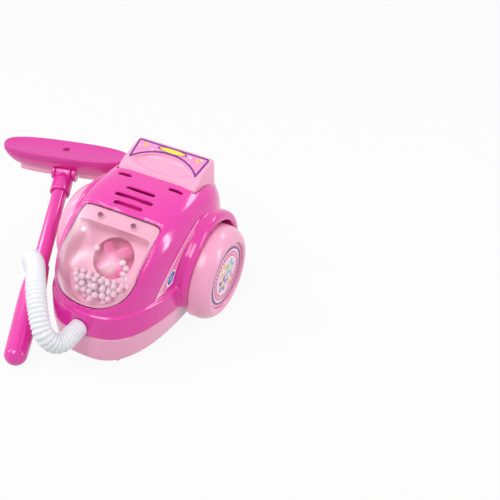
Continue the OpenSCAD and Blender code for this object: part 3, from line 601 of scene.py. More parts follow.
# %% Cut and mould the hood
step_in, step_out, step_deep, opening_gap = 1.0, -2.7, 0.9, -0.4
cut_low, cut_high = -20.0, 40.0
axle_slot_x, axle_slot_half, axle_slot_z = (42, 49), 2.3, (20, 38.8)
baffle_half, baffle_y, baffle_top, baffle_wall = 29, (-35.4, 3.6), 99, 1.2
room_half, room_y, room_top = 27.8, (-34.4, 2.6), 99.5
pocket_half, pocket_y, pocket_z = 33.4, (5.7, 38.8), (54, 150)
slots = ((10, 0, -14.8), (13.5, 0, -23.8), (9.9, 0, -32.3), (3.9, -21, -1.5), (3.9, 21, -1.5))
port_r, port_y = 5.0, (-105, -80)
hood = hood_skin("hood", 0.0, parting_h)
hollow = hood_skin("hollow", wall, parting_h - 1)
for s in (-1, 1):
    work_with(hood, work_with(wheel_arch(s), below_parting(), "DIFFERENCE"), "UNION")
work_with(hood, hollow, "DIFFERENCE")
for s in (-1, 1):
    work_with(hood, drum("well", s, well_r - well_tight, well_x, well_end), "DIFFERENCE")
    slot_from, slot_to = sorted(s * x for x in axle_slot_x)
    axle_slot = block("axle_slot", (slot_from, -axle_slot_half, axle_slot_z[0]),
                      (slot_to, axle_slot_half, axle_slot_z[1]))
    work_with(hood, axle_slot, "DIFFERENCE")
baffle = block("baffle", (-baffle_half, baffle_y[0], baffle_z - baffle_wall),
               (baffle_half, baffle_y[1], baffle_top))
baffle_room = block("baffle_room", (-room_half, room_y[0], baffle_z), (room_half, room_y[1], room_top))
work_with(baffle, baffle_room, "DIFFERENCE")
work_with(baffle, hood_skin("trim", 1.0, parting_h), "INTERSECT")
work_with(hood, baffle, "UNION")
step_line, step_edge = window_ring(step_in, step_in, 1.0), window_ring(step_out, step_out, 1.0)
step_rings = [with_height(line, dome_height(line) - step_deep) for line in (step_line, step_edge)]
step_rings.append(with_height(step_edge, cut_high))
work_with(hood, loft("step_cutter", step_rings, crease=0), "DIFFERENCE")
opening = window_ring(opening_gap, opening_gap, 1.0)
opening_rings = [with_height(opening, cut_low), with_height(opening, cut_high)]
work_with(hood, loft("window_cutter", opening_rings, crease=0), "DIFFERENCE")
pocket = block("pocket", (-pocket_half, pocket_y[0], pocket_z[0]), (pocket_half, pocket_y[1], pocket_z[1]))
work_with(hood, pocket, "DIFFERENCE")
for half, x, y in slots:
    work_with(hood, loft("slot_cutter", slot_cutter(half, x, y), crease=0), "DIFFERENCE")
port = plug("port", port_r, *port_y, lambda p: np.stack([p[:, 0], p[:, 2], port_z + p[:, 1]], 1), 48)
work_with(hood, port, "DIFFERENCE")
mould(hood, grain=0.7, passes=4)
fit(hood, "body", hot_pink, "hot_pink", "upper_shell")

# %% [markdown]
# ## Base pan
# Below the parting line the body is closed by a pale pan that narrows towards the floor. It is the same
# outline drawn smaller, so it is lofted with the same plan. Two small feet stand under its nose.

# %% Base pan
base_z, base_round, side_draft = 4, 2.5, 5


def base_ring(off, a):
    z = base_z + off + base_round * (1 - math.cos(a))
    slack = 1 - (z - base_z) / (parting_h - base_z)
    bend = base_round * (1 - math.sin(a))
    x, y = plan(half_w - off - side_draft * slack - bend, nose_l - off - slack - bend,
                tail_l - off - slack - bend)
    return np.stack([x, y, np.full_like(x, z)], 1)


def base_skin(name, off, top_z):
    rings = [base_ring(off, a) for a in np.radians(np.linspace(0, 90, 7))]
    return loft(name, rings + [flat_ring(off, top_z)], crease=0)


def upright(x, y):
    return lambda p: np.stack([x + p[:, 0], y + p[:, 1], p[:, 2]], 1)


foot_line = [(near_axis, 0), (1.6, 0), (2.4, 0.5), (2.6, 1.2), (2.6, 6), (near_axis, 6)]
foot_x, foot_back, sunk_from, sunk_to = 21, 14, 2, 7.5
door_low, door_high = (-15.5, -23, sunk_from), (15.5, 33, 6.3)
switch_low, switch_high = (-3, -60.75, sunk_from), (3, -49.25, 8)
screw_wells = ((0, 36.5, 4.3), (30, -56, 2.9), (-30, -56, 2.9), (25, 41, 2.9), (-25, 41, 2.9))
base = base_skin("base", 0.0, parting_h)
room = base_skin("room", wall, parting_h + 1)
work_with(base, room, "DIFFERENCE")
for s in (-1, 1):
    work_with(base, drum("well", s, well_r, well_x, well_end), "DIFFERENCE")
    work_with(base, spin("foot", foot_line, upright(s * foot_x, foot_back - nose_l), 32, 0), "UNION")
work_with(base, block("door_opening", door_low, door_high), "DIFFERENCE")
work_with(base, block("switch_opening", switch_low, switch_high), "DIFFERENCE")
for x, y, r in screw_wells:
    work_with(base, plug("screw_well", r, sunk_from, sunk_to, upright(x, y), 40), "DIFFERENCE")
mould(base, grain=0.7, passes=12)
fit(base, "body", pale_pink, "pale_pink", "base_pan")

# %% [markdown]
# ## Tail block
# A pale block with a sloping top sits behind the crown. Its front is scooped out by a shallow dish under the
# printed label. A loft across the toy gives its rounded ends. An ellipsoid gives the dish, and a disc trims
# it so that the dish ends at the arc of the label.

# %% Tail block
block_line = np.array([(6, 84), (6, 96.6), (8.4, 99.6), (14.4, 102.6), (34.9, 107.9), (37.6, 107),
                       (38.5, 104.8), (38.5, 76)])
block_ends = ((-33.1, 0.88), (-32.6, 0.96), (-31.5, 1), (31.5, 1), (32.6, 0.96), (33.1, 0.88))
block_draft, block_z, block_h = 0.045, 84, 23.9


def block_ring(x, share):
    mid = np.array([22, crown_h - 6.5])
    line = mid + share * (block_line - mid)
    return np.c_[x * (1 - block_draft * (line[:, 1] - block_z) / block_h), line]


tail_block = loft("tail_block_shell", [block_ring(x, share) for x, share in block_ends], crease=0)
label_slope = math.radians(14.5)
label_way = (0.0, math.cos(label_slope), math.sin(label_slope))
label_rise = (0.0, -math.sin(label_slope), math.cos(label_slope))
label_zero = np.array([0, 14.4, 102.6])


def at_label(across, up, h):
    flat = label_zero + np.outer(across, (1, 0, 0)) + np.outer(up, label_way)
    return flat + np.outer(np.broadcast_to(h, len(across)), label_rise)


arch_r, arch_sink, disc_slack, disc_reach = 34.6, 21.4, 0.4, 30
dish_half, dish_mid = (28, 9.8, 5.5), (3.4, 0.6)


def at_dish(p):
    wide, long, deep = dish_half
    return at_label(p[:, 0] * wide, dish_mid[0] + p[:, 1] * long, dish_mid[1] + p[:, 2] * deep)


dish_line = [(math.cos(a) + 1e-4, math.sin(a)) for a in np.radians(np.linspace(-90, 90, 25))]
dish = spin("dish", dish_line, at_dish, 96, 0)
disc_edge = np.linspace(0, 2 * np.pi, 180, endpoint=False) + off_axis
disc_x = (arch_r - disc_slack) * np.cos(disc_edge)
disc_y = (arch_r - disc_slack) * np.sin(disc_edge) - arch_sink
disc = loft("disc", [at_label(disc_x, disc_y, h) for h in (-disc_reach, disc_reach)], crease=0)
work_with(dish, disc, "INTERSECT")
work_with(tail_block, dish, "DIFFERENCE")
mould(tail_block, grain=0.6, passes=6)
fit(tail_block, "body", pale_pink, "pale_pink", "tail_block")

# %% [markdown]
# ## Printed labels
# The toy carries glossy paper stickers. Their print is drawn with masks: a distance from an edge or a centre
# goes through a soft step, and each mask lays one ink over the last. The patterns are plain rings, dots and
# flowers.

# %% Print helpers
def flower(across, up, x, y, size, petals=5):
    dx, dy = across - x, up - y
    far = (dx * dx + dy * dy) ** 0.5
    angle = far.sum("ARCTAN2", dy, dx)
    petal = far - size * (0.72 + 0.28 * far.sum("COSINE", angle * petals))
    return petal.below(0.0, 0.18), far.below(size * 0.34, 0.15)


def printed(wire, tone, place):
    fine = wire.node("TexNoise", None, {"Vector": place, "Scale": 1400.0, "Detail": 2.0})
    relief = wire.node("Bump", None, {"Strength": 0.04, "Distance": 0.0002, "Height": fine})
    surface(wire, {"Base Color": tone, "Roughness": 0.24 + 0.1 * fine, "Normal": relief, "Coat Weight": 0.3,
                   "Coat Roughness": 0.08})


purple, yellow, white = ink(120, 34, 144), ink(250, 222, 70), ink(252, 248, 252)
print("print helpers ready")

# %% Tail label
label_half, label_top, label_corner, label_flare, label_rows = 28, 20.5, 2.0, 290, 12
paper_up, paper_down = 0.25, -0.15
across = np.linspace(-label_half, label_half, 117)
arch_low = np.sqrt(np.maximum(0, arch_r ** 2 - across ** 2)) - arch_sink
arch_low = np.maximum(0.5, arch_low)
past = np.maximum(0, np.abs(across) - (label_half - label_corner))
corner = label_top - np.maximum(0, label_corner - np.sqrt(np.maximum(0, label_corner ** 2 - past ** 2)))
rows = [(k, paper_up) for k in range(label_rows + 1)] + [(label_rows, paper_down), (0, paper_down)]
lines = [(arch_low + (corner - arch_low) * k / label_rows, h) for k, h in rows]
grid = np.array([at_label(across * (1 + up / label_flare), up, h) for up, h in lines])
count = len(across)
faces = band_faces(len(lines), count, True, False)
faces += [tuple(r * count + e for r in range(len(lines))) for e in (0, count - 1)]
tail_label = put("tail_label_print", grid.reshape(-1, 3), faces, 40)
label_paper, wire = new_finish("tail_label_paper")
place = place_on(wire)
u = place.dot((1000.0, 0, 0))
v = place.dot(tuple(1000 * c for c in label_way)) - float(label_zero @ label_way)
blooms = wire.node("TexVoronoi", None, {"Vector": place, "Scale": 210.0})
tone = blend(blooms.below(0.22, 0.05) * 0.75, ink(243, 148, 198), white)
for x in (-22.5, 22.5):
    petals, eye = flower(u, v, x, 16.3, 2.3)
    tone = blend(eye, blend(petals, tone, yellow), ink(226, 120, 40))
oval = ((u / 12.6) ** 2 + ((v - 17.0) / 2.5) ** 2) ** 0.5
tone = blend(oval.below(1.0, 0.03), tone, purple)
tone = blend(oval.below(0.84, 0.04), tone, yellow)
arch_far = (u * u + (v + arch_sink) * (v + arch_sink)) ** 0.5
edge = v.sum("MAXIMUM", arch_far.below(arch_r + 1.7, 0.12), (abs(u) - v * 0.1).above(26.4, 0.12))
edge = v.sum("MAXIMUM", edge, v.above(18.9, 0.12))
printed(wire, blend(edge, tone, purple), place)
fit(tail_label, "body", label_paper, "label", "tail_label")
print("tail label", len(tail_label.data.polygons), "faces")

# %% [markdown]
# ## Window, tray and fan
# Behind a clear cover lies a pale tray with a round hole, and a little fan turns in a pink housing behind the
# hole. The cover follows the dome: its outline takes the dome's height, searched for above, and the middle
# swells a little over it. Two screws with crossed slots hold its upper edge, on bosses of the tray.

# %% Clear cover
cover_drop, cover_swell, cover_middle, cover_thick = 0.4, 1.6, 1.2, 1.5


def cover_ring(share, inset, drop):
    flat = window_ring(inset, inset, share)
    return with_height(flat, dome_height(flat) - cover_drop + cover_swell * (1 - share * share) - drop)


shares = [k / 16 for k in range(1, 16)]
rim = [(1.0, 0.35, 0.0), (1.0, 0.1, 0.15), (1.0, 0.0, 0.45), (1.0, 0.0, 1.15), (1.0, 0.3, 1.5)]
rings = [cover_ring(s, 0, 0.0) for s in shares] + [cover_ring(*r) for r in rim]
rings += [cover_ring(s, 0, cover_thick) for s in shares[::-1]]
middle = np.array([[0.0, window_mid]])
top_middle, low_middle = (with_height(middle, dome_height(middle) + cover_middle - drop)[0]
                          for drop in (0.0, cover_thick))
cover = loft("window_cover_clear", rings, foot=top_middle, top=low_middle)
fit(cover, "body", clear_cover, "clear_cover", "window_cover")
print("cover has", len(cover.data.polygons), "faces")

# %% Screws of the cover
screw_lean, screw_x, screw_v = math.radians(23), 13.3, 6.0
screw_spot = np.array([[screw_x, screw_v]])
screw_top = dome_height(screw_spot)[0] - cover_drop + cover_swell * (1 - (1 - screw_v / window_mid) ** 2)


def at_screw(s):
    c, d = math.cos(screw_lean), math.sin(screw_lean)
    return lambda p: at_window(np.stack([s * screw_x + p[:, 0], screw_v - p[:, 1] * c - p[:, 2] * d,
                                         screw_top - p[:, 1] * d + p[:, 2] * c], 1))


def move_to(piece, place):
    spots = place(np.array([v.co for v in piece.data.vertices]) / mm)
    for vertex, spot in zip(piece.data.vertices, spots):
        vertex.co = spot * mm
    return piece


screw_line = [(2 * near_axis, -9.5), (0.95, -9.5), (0.95, -0.9), (1.95, -0.9), (1.95, -0.5), (1.7, -0.15),
              (1.1, 0.05), (2 * near_axis, 0.1)]
cross_long, cross_short, cross_deep = 1.35, 0.3, -0.55
cover_screws = spin("cover_screw_pair", screw_line, at_screw(-1), 40, 0)
work_with(cover_screws, spin("screw", screw_line, at_screw(1), 40, 0), "UNION")
for s in (-1, 1):
    for long, short in ((cross_long, cross_short), (cross_short, cross_long)):
        cross = block("cross", (-long, -short, cross_deep), (long, short, 3))
        work_with(cover_screws, move_to(cross, at_screw(s)), "DIFFERENCE")
sharpen(cover_screws, 35)
fit(cover_screws, "body", screw_lacquer, "steel", "window_screws")
print("cover screws have", len(cover_screws.data.polygons), "faces")

# %% Bead tray
tray_drop, fan_v, fan_hole_r = 3.2, 29.0, 15.6
boss_line = [(near_axis, -4.6), (3.0, -4.6), (2.7, -1.55), (near_axis, -1.55)]


def tray_ring(inset, top_inset, h=None):
    flat = window_ring(inset, inset + top_inset, 1.0)
    return with_height(flat, dome_height(flat) - tray_drop if h is None else h)


def at_fan(p):
    return at_window(np.stack([p[:, 0], fan_v - p[:, 1], p[:, 2]], 1))


shelf = [tray_ring(0.3 + 1.6 * k, 10 * k) for k in np.linspace(0, 1, 9)]
tray_rings = [tray_ring(0.3, 0, -16.6)] + shelf + [tray_ring(2.1, 10.2, -13.0), tray_ring(2.9, 10.9, -15.0)]
tray = loft("bead_tray_shell", tray_rings, crease=35)
work_with(tray, plug("fan_hole", fan_hole_r, -19, -12, at_fan, 96), "DIFFERENCE")
for s in (-1, 1):
    work_with(tray, spin("boss", boss_line, at_screw(s), 40, 0), "UNION")
sharpen(tray, 35)
# The tray wears the lighter painted-light copy of the pale pink.
fit(tray, "body", tray_painted_light_pink, "pale_pink", "bead_tray")
print("tray has", len(tray.data.polygons), "faces")

# %% Fan housing
housing = [(3.3, -25.9), (3.3, -24.3), (14.6, -24.3), (15.6, -23.3), (15.6, -17.2), (15.9, -16.9),
           (17.2, -16.9), (17.2, -25.9), (11.9, -25.9), (11.9, -37.9), (10.3, -37.9), (10.3, -25.9)]
shroud = spin("fan_housing", housing, at_fan, 96, 35)
# The housing wears the lighter painted-light copy of the hot pink.
fit(shroud, "body", fan_painted_light_pink, "hot_pink", "fan_shroud")
print("housing has", len(shroud.data.polygons), "faces")

# %% Fan
blade_root, blade_tip, blade_rings, blade_half, fan_depth = 2.9, 13.6, 12, 4.4, -16.5
root_pitch, pitch_loss = 42, 1.2
blade_line = ((-1, 0), (-0.85, 0.6), (0, 0.75), (0.85, 0.6), (1, 0), (0.85, -0.6), (0, -0.75), (-0.85, -0.6))
sides = len(blade_line)
fan_points, fan_faces = [], []
for quarter in range(4):
    turn_by = math.radians(45 + 90 * quarter)
    c, d = math.cos(turn_by), math.sin(turn_by)
    start = len(fan_points)
    for i, r in enumerate(np.linspace(blade_root, blade_tip, blade_rings)):
        pitch = math.radians(root_pitch - pitch_loss * i)
        reach = blade_half * (1 - 0.45 * (max(0, i - 7) / 4) ** 2)
        for w, t in blade_line:
            y = w * reach * math.cos(pitch) - t * math.sin(pitch)
            z = w * reach * math.sin(pitch) + t * math.cos(pitch)
            fan_points.append((r * c - y * d, r * d + y * c, fan_depth + z))
    fan_faces += band_faces(blade_rings, sides, False, True, start)
    fan_faces += [tuple(start + row * sides + k for k in range(sides)) for row in (0, blade_rings - 1)]
fan = put("fan_blades", at_fan(np.array(fan_points)), fan_faces, 50)
hub_line = [(1.0, -21), (3.6, -21), (3.6, -13.4)] + arc((2.2, -13.4), (1.4, 1.2), 10, 90, 6)
hub = spin("hub", hub_line + [(0.3, -12.0), (0.3, -13.0), (1.0, -13.0)], at_fan, 48, 0)
work_with(fan, hub, "UNION")
sharpen(fan, 45)
# The fan, too, wears the lighter painted-light copy of the hot pink.
fit(fan, "fan", fan_painted_light_pink, "hot_pink", "fan")
print("fan has", len(fan.data.polygons), "faces")

# %% [markdown]
# ## Foam beads
# When the fan blows, white foam beads dance behind the window; at rest they lie heaped at its foot and a few
# cling to the cover. Real beads differ in size and lie untidily, so each one in the heap is nudged by a
# seeded random amount.

# %% Beads
dice = random.Random(7)
bead_step, bead_nudge, heap_v, tray_floor, layer_rise = 5.3, 0.9, 46, -15, 4.4
heap_wide, heap_long, heap_edge = 31, 34, 1 - 12 / 69
cling_gap, cling_reach, cling_r = 1.6, 2.3, 2.2
clinging = ((-19, 20.5), (19.4, 33.4), (22.6, 36.2), (22.2, 40.6), (24.8, 43.2), (-2, 30))
bead_shape = bmesh.new()


def add_bead(x, v, h, r):
    at = Matrix.Translation(Vector(at_window(np.array([[x, v, h]]))[0] * mm))
    bmesh.ops.create_icosphere(bead_shape, subdivisions=2, radius=r * mm, matrix=at)


heap = 0
for layer in range(2):
    for row in range(layer, 5):
        for column in range(-6, 7):
            x = (column + row % 2 / 2) * bead_step
            v = heap_v + (row - layer / 3) * bead_step * math.sin(math.radians(60))
            if math.hypot(x / heap_wide, (v - window_mid) / heap_long) < heap_edge:
                r = dice.uniform(2.1, 2.5)
                x += dice.uniform(-bead_nudge, bead_nudge)
                v += dice.uniform(-bead_nudge, bead_nudge)
                add_bead(x, v, tray_floor + r + layer * layer_rise + dice.uniform(0.02, 1.2), r)
                heap += 1
for x, v in clinging:
    share = max(abs(x) / heap_wide, abs(v - window_mid) / heap_long)
    over = dome_height(np.array([[x, v]]))[0] - cover_drop + cover_swell * (1 - share ** 2)
    add_bead(x, v, over - cling_gap - cling_reach, cling_r)
bead_mesh = bpy.data.meshes.new("foam_beads_heap")
bead_shape.to_mesh(bead_mesh)
bead_shape.free()
bead_mesh.shade_smooth()
beads = bpy.data.objects.new("foam_beads_heap", bead_mesh)
bpy.context.scene.collection.objects.link(beads)
fit(beads, "body", foam, "white_foam", "foam_beads")
print("beads in the heap", heap)

# %% [markdown]
# ## Wheels
# The big rear wheels are hollow pale mouldings with a bulging tread. A profile spun round the axle is the
# whole story, because nothing on a wheel is square. A disc with a printed ring pattern closes each hub.

# %% Wheels and hub discs
wheel_line = [(2.05, 47.8), (5, 47.8), (5, 57.5), (32.3, 57.5), (34.3, 55.5), (34.5, 48), (34.9, 47.5),
              (35.6, 47.6), (36.2, 48.3), (36.5, 49.6)]
wheel_line += arc((27.4, 53.5), (9.1, 12.5), 0, 84, 22)
wheel_line += [(27.2, 65.9), (26.4, 65.6), (25.95, 65.0), (25.9, 61.7), (23.6, 61.7), (23.6, 59.5),
               (2.05, 59.5)]
cap_line = [(2 * near_axis, 62.0), (25.3, 62.0), (25.6, 62.3), (25.6, 63.6), (25.4, 63.9), (25.0, 64.0),
            (2 * near_axis, 64.0)]
print_line = [(2 * near_axis, 64.0), (23.2, 64.0), (23.2, 64.2), (23.1, 64.25), (2 * near_axis, 64.25)]
hub_paper, wire = new_finish("hub_label_paper")
place = place_on(wire)
y_mm, z_mm = place.dot((0, 1000.0, 0)), place.dot((0, 0, 1000.0)) - axle_z
far = (y_mm * y_mm + z_mm * z_mm) ** 0.5
angle = far.sum("ARCTAN2", z_mm, y_mm)
mottle = wire.node("TexNoise", None, {"Vector": place, "Scale": 240.0, "Detail": 2.0})
tone = blend(mottle, ink(252, 222, 236), ink(248, 192, 220))
blossoms = ((-5.4, -4.4, 7.6, ink(120, 92, 190), yellow), (5.4, 4.2, 7.8, ink(94, 176, 226), yellow),
            (-5.2, 7.6, 6.0, ink(248, 186, 60), white), (6.6, -7.4, 5.8, ink(240, 112, 70), white))
for x, y, size, petal_ink, eye_ink in blossoms:
    petals, eye = flower(y_mm, z_mm, x, y, size)
    tone = blend(eye, blend(petals, tone, petal_ink), eye_ink)
tone = blend(far.above(14.4, 0.15), tone, white)
tone = blend(far.above(15.4, 0.15), tone, ink(238, 84, 156))
dots = far.sum("COSINE", angle * 36.0) * far.band(16.6, 18.6, 0.3)
tone = blend(dots.above(0.35, 0.15), tone, ink(253, 220, 236))
tone = blend(far.above(19.8, 0.15), tone, ink(253, 226, 240))
tone = blend(far.above(21.2, 0.15), tone, ink(112, 36, 140))
printed(wire, tone, place)
for s, name in ((-1, "left"), (1, "right")):
    wheel = spin(name + "_wheel_moulding", wheel_line, at_axle(s), 128, 45)
    fit(wheel, name + "_wheel", pale_pink, "pale_pink", name + "_wheel")
    cap = spin(name + "_hub_disc", cap_line, at_axle(s), 96, 45)
    fit(cap, name + "_wheel", pale_pink, "pale_pink", name + "_hub_cap")
    disc = spin(name + "_hub_print", print_line, at_axle(s), 96, 45)
    fit(disc, name + "_wheel", hub_paper, "label", name + "_hub_label")
print("wheel has", len(wheel.data.polygons), "faces")

# %% [markdown]
# ## Wand
# The hand grip is a long capsule, a little wider than it is thick, that tapers into the tube. Rings along the
# wand with their own half-width and half-thickness describe it best. The tube and the collar are spun.

# %% Grip and tube
def at_wand(p):
    p = np.asarray(p, float)
    middle = wand_foot + np.outer(p[:, 2], wand_along)
    return middle + np.outer(p[:, 0], wand_side) + np.outer(p[:, 1], wand_up)


grip_r, grip_end, tube_r, tube_from, tube_to = 8.3, 76.0, 6.0, 68.1, 158.5
grip_stops = -grip_r * np.cos(np.radians(np.linspace(4, 88, 14)))
grip_rings = []
for s in np.r_[grip_stops, np.linspace(2, 75.2, 60), [75.8, grip_end]]:
    round_off = math.sqrt(max(0.0, 1 - (min(s, 0) / grip_r) ** 2))
    wide = np.interp(s, [-grip_r, 0, 20, 40, 50, 58, 66, 76], [grip_r, grip_r, 8.75, 9.3, 9.4, 9.1, 8.4, 7.3])
    tall = np.interp(s, [-grip_r, 0, 50, 58, 66, 76], [grip_r, grip_r, grip_r, 8.15, 7.8, 7.3])
    chamfer = 0.35 if s > 75.9 else 0.0
    x, y = (wide - chamfer) * round_off * np.cos(around), (tall - chamfer) * round_off * np.sin(around)
    grip_rings.append(at_wand(np.stack([x, y, np.full_like(around, s)], 1)))
grip = loft("hand_grip", grip_rings, foot=wand_foot - grip_r * wand_along, crease=0)
stub_line = [(near_axis, 0), (4.7, 0), (4.7, 17.0), (4.4, 17.4), (3.3, 17.4), (3.3, 1), (near_axis, 1)]
stub = spin("stub", stub_line, lambda p: at_wand(np.stack([p[:, 0], p[:, 2], stub_at + p[:, 1]], 1)), 40, 0)
work_with(grip, stub, "UNION")
work_with(grip, plug("bore", 6.05, 68, 80, at_wand, 64), "DIFFERENCE")
mould(grip, grain=0.55, passes=5)
fit(grip, "wand", hot_pink, "hot_pink", "wand_grip")
tube_line = [(4.5, tube_from), (tube_r, tube_from), (tube_r, 158.2), (5.7, tube_to), (4.5, tube_to)]
tube = spin("wand_tube_moulding", tube_line, at_wand, 64, 40)
fit(tube, "wand", hot_pink, "hot_pink", "wand_tube")
print("wand is", tube_to, "mm long to the end of its tube")

# %% [markdown]
# ## Collar and nozzle
# The tube ends in a collar whose neck carries the hinge of the floor nozzle. The nozzle is a boat with a flat
# sole, lying sole up. Its outline is once more a superellipse, drawn smaller towards the back of the boat.

# %% Collar
nozzle_turn = math.radians(16.6)
hinge_at = 169
hinge = wand_foot + hinge_at * wand_along
nozzle_x = np.array([math.cos(nozzle_turn), math.sin(nozzle_turn), 0])
nozzle_y = np.array([-math.sin(nozzle_turn), math.cos(nozzle_turn), 0])


def at_nozzle(p):
    p = np.asarray(p, float)
    return hinge + np.outer(p[:, 0], nozzle_x) + np.outer(p[:, 1], nozzle_y) + np.outer(p[:, 2], (0, 0, 1))


def across_nozzle(p):
    return at_nozzle(np.stack([p[:, 2], p[:, 0], p[:, 1]], 1))


collar_line = [(6.05, 147.0), (7.6, 147.0), (8.0, 147.5), (8.0, 159.2)]
collar_line += arc((6.6, 159.2), (1.4, 1.8), 10, 90, 6)
collar_line += [(5.6, 161.2), (5.6, 168), (near_axis, 168), (near_axis, 158.8), (6.05, 158.8)]
collar = spin("collar", collar_line, at_wand, 72, 0)
barrel_line = [(1.55, -6.2), (6.4, -6.2), (7.0, -5.6), (7.0, 5.6), (6.4, 6.2), (1.55, 6.2)]
barrel = spin("barrel", barrel_line, across_nozzle, 64, 0)
work_with(collar, barrel, "UNION")
work_with(collar, plug("pin_hole", 1.6, -9, 9, across_nozzle, 32), "DIFFERENCE")
mould(collar, grain=0.45, passes=4)
fit(collar, "wand", hot_pink, "hot_pink", "nozzle_collar")

# %% Nozzle boat
nozzle_round, nozzle_half_l, nozzle_half_w, nozzle_mid = 2.7, 51.5, 13.2, 6.7


def nozzle_ring(l_in, w_in, z, count=200):
    t = np.linspace(0, 2 * np.pi, count, endpoint=False)
    x = (nozzle_half_l - l_in) * root(np.cos(t), 2 / nozzle_round)
    y = nozzle_mid + (nozzle_half_w - w_in) * root(np.sin(t), 2 / nozzle_round)
    return at_nozzle(np.stack([x, y, np.full(count, z)], 1))


boat_in, cheek_r, cheek_out, notch_half, notch_from, notch_to = 0.7, 6.5, 9.8, 6.6, -26.4, 7.4


def boat_ring(up, extra=0.0):
    taper = max(0.0, 1 - up) ** 1.6
    return nozzle_ring(boat_in + 7 * taper + extra, boat_in + 4.2 * taper + extra, 2.3 + up * 10.0)


boat_levels = (0.04, 0.12, 0.22, 0.35, 0.5, 0.65, 0.8, 0.93, 1.0)
boat = loft("nozzle_boat", [boat_ring(0, 0.9)] + [boat_ring(u) for u in boat_levels], crease=0)
for s in (-1, 1):
    low, high = sorted((s * notch_half, s * cheek_out))
    work_with(boat, plug("cheek", cheek_r, low, high, across_nozzle, 64), "UNION")
notch = block("notch", (-notch_half, notch_from, notch_from), (notch_half, notch_to, notch_to))
work_with(boat, move_to(notch, at_nozzle), "DIFFERENCE")
work_with(boat, plug("pin_hole", 1.53, -9.42, 9.42, across_nozzle, 32), "DIFFERENCE")
mould(boat, grain=0.6, passes=4)
fit(boat, "nozzle", hot_pink, "hot_pink", "nozzle_head")

# %% Nozzle sole and pads
sole_line = ((0.7, 12.6), (0.25, 12.75), (0, 13.3), (0, 17.0), (0.15, 17.7), (0.7, 18.2), (1.1, 18.3),
             (1.5, 18.2), (1.9, 18.0))
sole_hole = [(near_axis, 10), (1.5, 10), (1.5, 13.8), (2.9, 13.8), (2.9, 20), (near_axis, 20)]


def at_sole(p):
    return at_nozzle(np.stack([p[:, 0], nozzle_mid + p[:, 1], p[:, 2]], 1))


sole_rings = [nozzle_ring(inset, inset, z) for inset, z in sole_line]
sole = loft("nozzle_sole_cap", sole_rings, crease=50)
work_with(sole, spin("sole_hole", sole_hole, at_sole, 48, 0), "DIFFERENCE")
sharpen(sole, 50)
fit(sole, "nozzle", sole_pink, "hot_pink", "nozzle_sole")
pad_from, pad_to, pad_in_w, pad_in_l = 11.5, 38, 6.1, 8.9
pad_rings = ((0.94, -3.3), (0.985, -3.0), (1.0, -2.5), (1.0, 2.25))
pad_points, pad_faces = [], []
for s in (-1, 1):
    x = np.linspace(pad_from, pad_to, 28)
    bulge = (1 - (x / (nozzle_half_l - pad_in_l)) ** nozzle_round) ** (1 / nozzle_round)
    half = (nozzle_half_w - pad_in_w) * bulge
    outline = np.r_[np.stack([x, nozzle_mid + half], 1), np.stack([x, nozzle_mid - half], 1)[::-1]]
    middle = outline.mean(0)
    first, n = len(pad_points), len(outline)
    for shrink, z in pad_rings:
        ring = middle + (outline - middle) * shrink
        pad_points += list(at_nozzle(np.c_[s * ring[:, 0], ring[:, 1], np.full(n, z)]))
    pad_faces += band_faces(len(pad_rings), n, False, True, first)
    pad_faces += [tuple(first + row * n + i for i in range(n)) for row in (0, len(pad_rings) - 1)]
pads = put("nozzle_pad_pair", pad_points, pad_faces, 50)
fit(pads, "nozzle", pale_pink, "pale_pink", "nozzle_pads")
print("sole lies", round(float(sole_rings[-1][0][2]), 1), "mm over the floor")

# %% [markdown]
# ## Side stickers
# A slim three-cornered sticker follows the wheel arch on each side of the hood. Its edges are drawn round a
# point near the axle: a turn in degrees and a reach in millimetres. A flat plate would sink into the dome, so
# each point is pushed out to the dome's own surface and a hair beyond. The print lies on a paler sticker.

# %% Side stickers
sticker_y, sticker_z = 3.0, 39.0
low_turn, corner_turn, top_turn = 6.5, 15.3, 79.4
low_reach, corner_reach, top_reach = 65.0, 48.2, 45.6
sticker_sag, sticker_stops, sticker_lanes, sticker_sink = 2.2, 73, 9, -0.3
layers = (("sticker", 0.25, 0.0, 1.0, 0, 73), ("sticker_print", 0.4, 0.16, 0.86, 5, 67))


def dome_side(y, z):
    q = np.clip((z - ledge_z) / (crown_h - ledge_z), 0, 1)
    deep = (nose_l - ledge_w) * swell(q, nose_round)
    narrowing = np.maximum(0, 1 - (np.abs(y) / deep) ** plan_round) ** (1 / plan_round)
    return (half_w - ledge_w) * swell(q, side_round) * narrowing


sweep = np.linspace(low_turn, top_turn, sticker_stops)
outer_reach = top_reach + (low_reach - top_reach) * ((top_turn - sweep) / (top_turn - low_turn)) ** 2
way = np.clip((sweep - corner_turn) / (top_turn - corner_turn), 0, 1)
arch_reach = corner_reach + (top_reach - corner_reach) * way - sticker_sag * np.sin(np.pi * way ** 2)
low_edge = low_reach + (corner_reach - low_reach) * (sweep - low_turn) / (corner_turn - low_turn)
spoke_y, spoke_z = np.cos(np.radians(sweep)), np.sin(np.radians(sweep))
edges = [np.stack([sticker_y - reach * spoke_y, sticker_z + reach * spoke_z], 1)
         for reach in (outer_reach, np.maximum(arch_reach, low_edge))]
for s, name in ((-1, "left"), (1, "right")):
    for part, out, start, stop, first, last in layers:
        lanes = []
        for lift, order in ((out, 1), (sticker_sink, -1)):
            for share in np.linspace(start, stop, sticker_lanes)[::order]:
                spot = (edges[0] * (1 - share) + edges[1] * share)[first:last]
                lanes.append(np.c_[s * (dome_side(spot[:, 0], spot[:, 1]) + lift), spot])
        lanes = np.array(lanes)
        rows, count = lanes.shape[:2]
        faces = band_faces(rows, count, True, False)
        faces += [tuple(r * count + e for r in range(rows)) for e in (0, count - 1)] if first else []
        sticker = put(name + "_side_" + part, lanes.reshape(-1, 3), faces, 40)
        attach(sticker, "body")
        sticker.data.materials.append(tray_painted_light_pink)
print("sticker has", len(sticker.data.polygons), "faces")

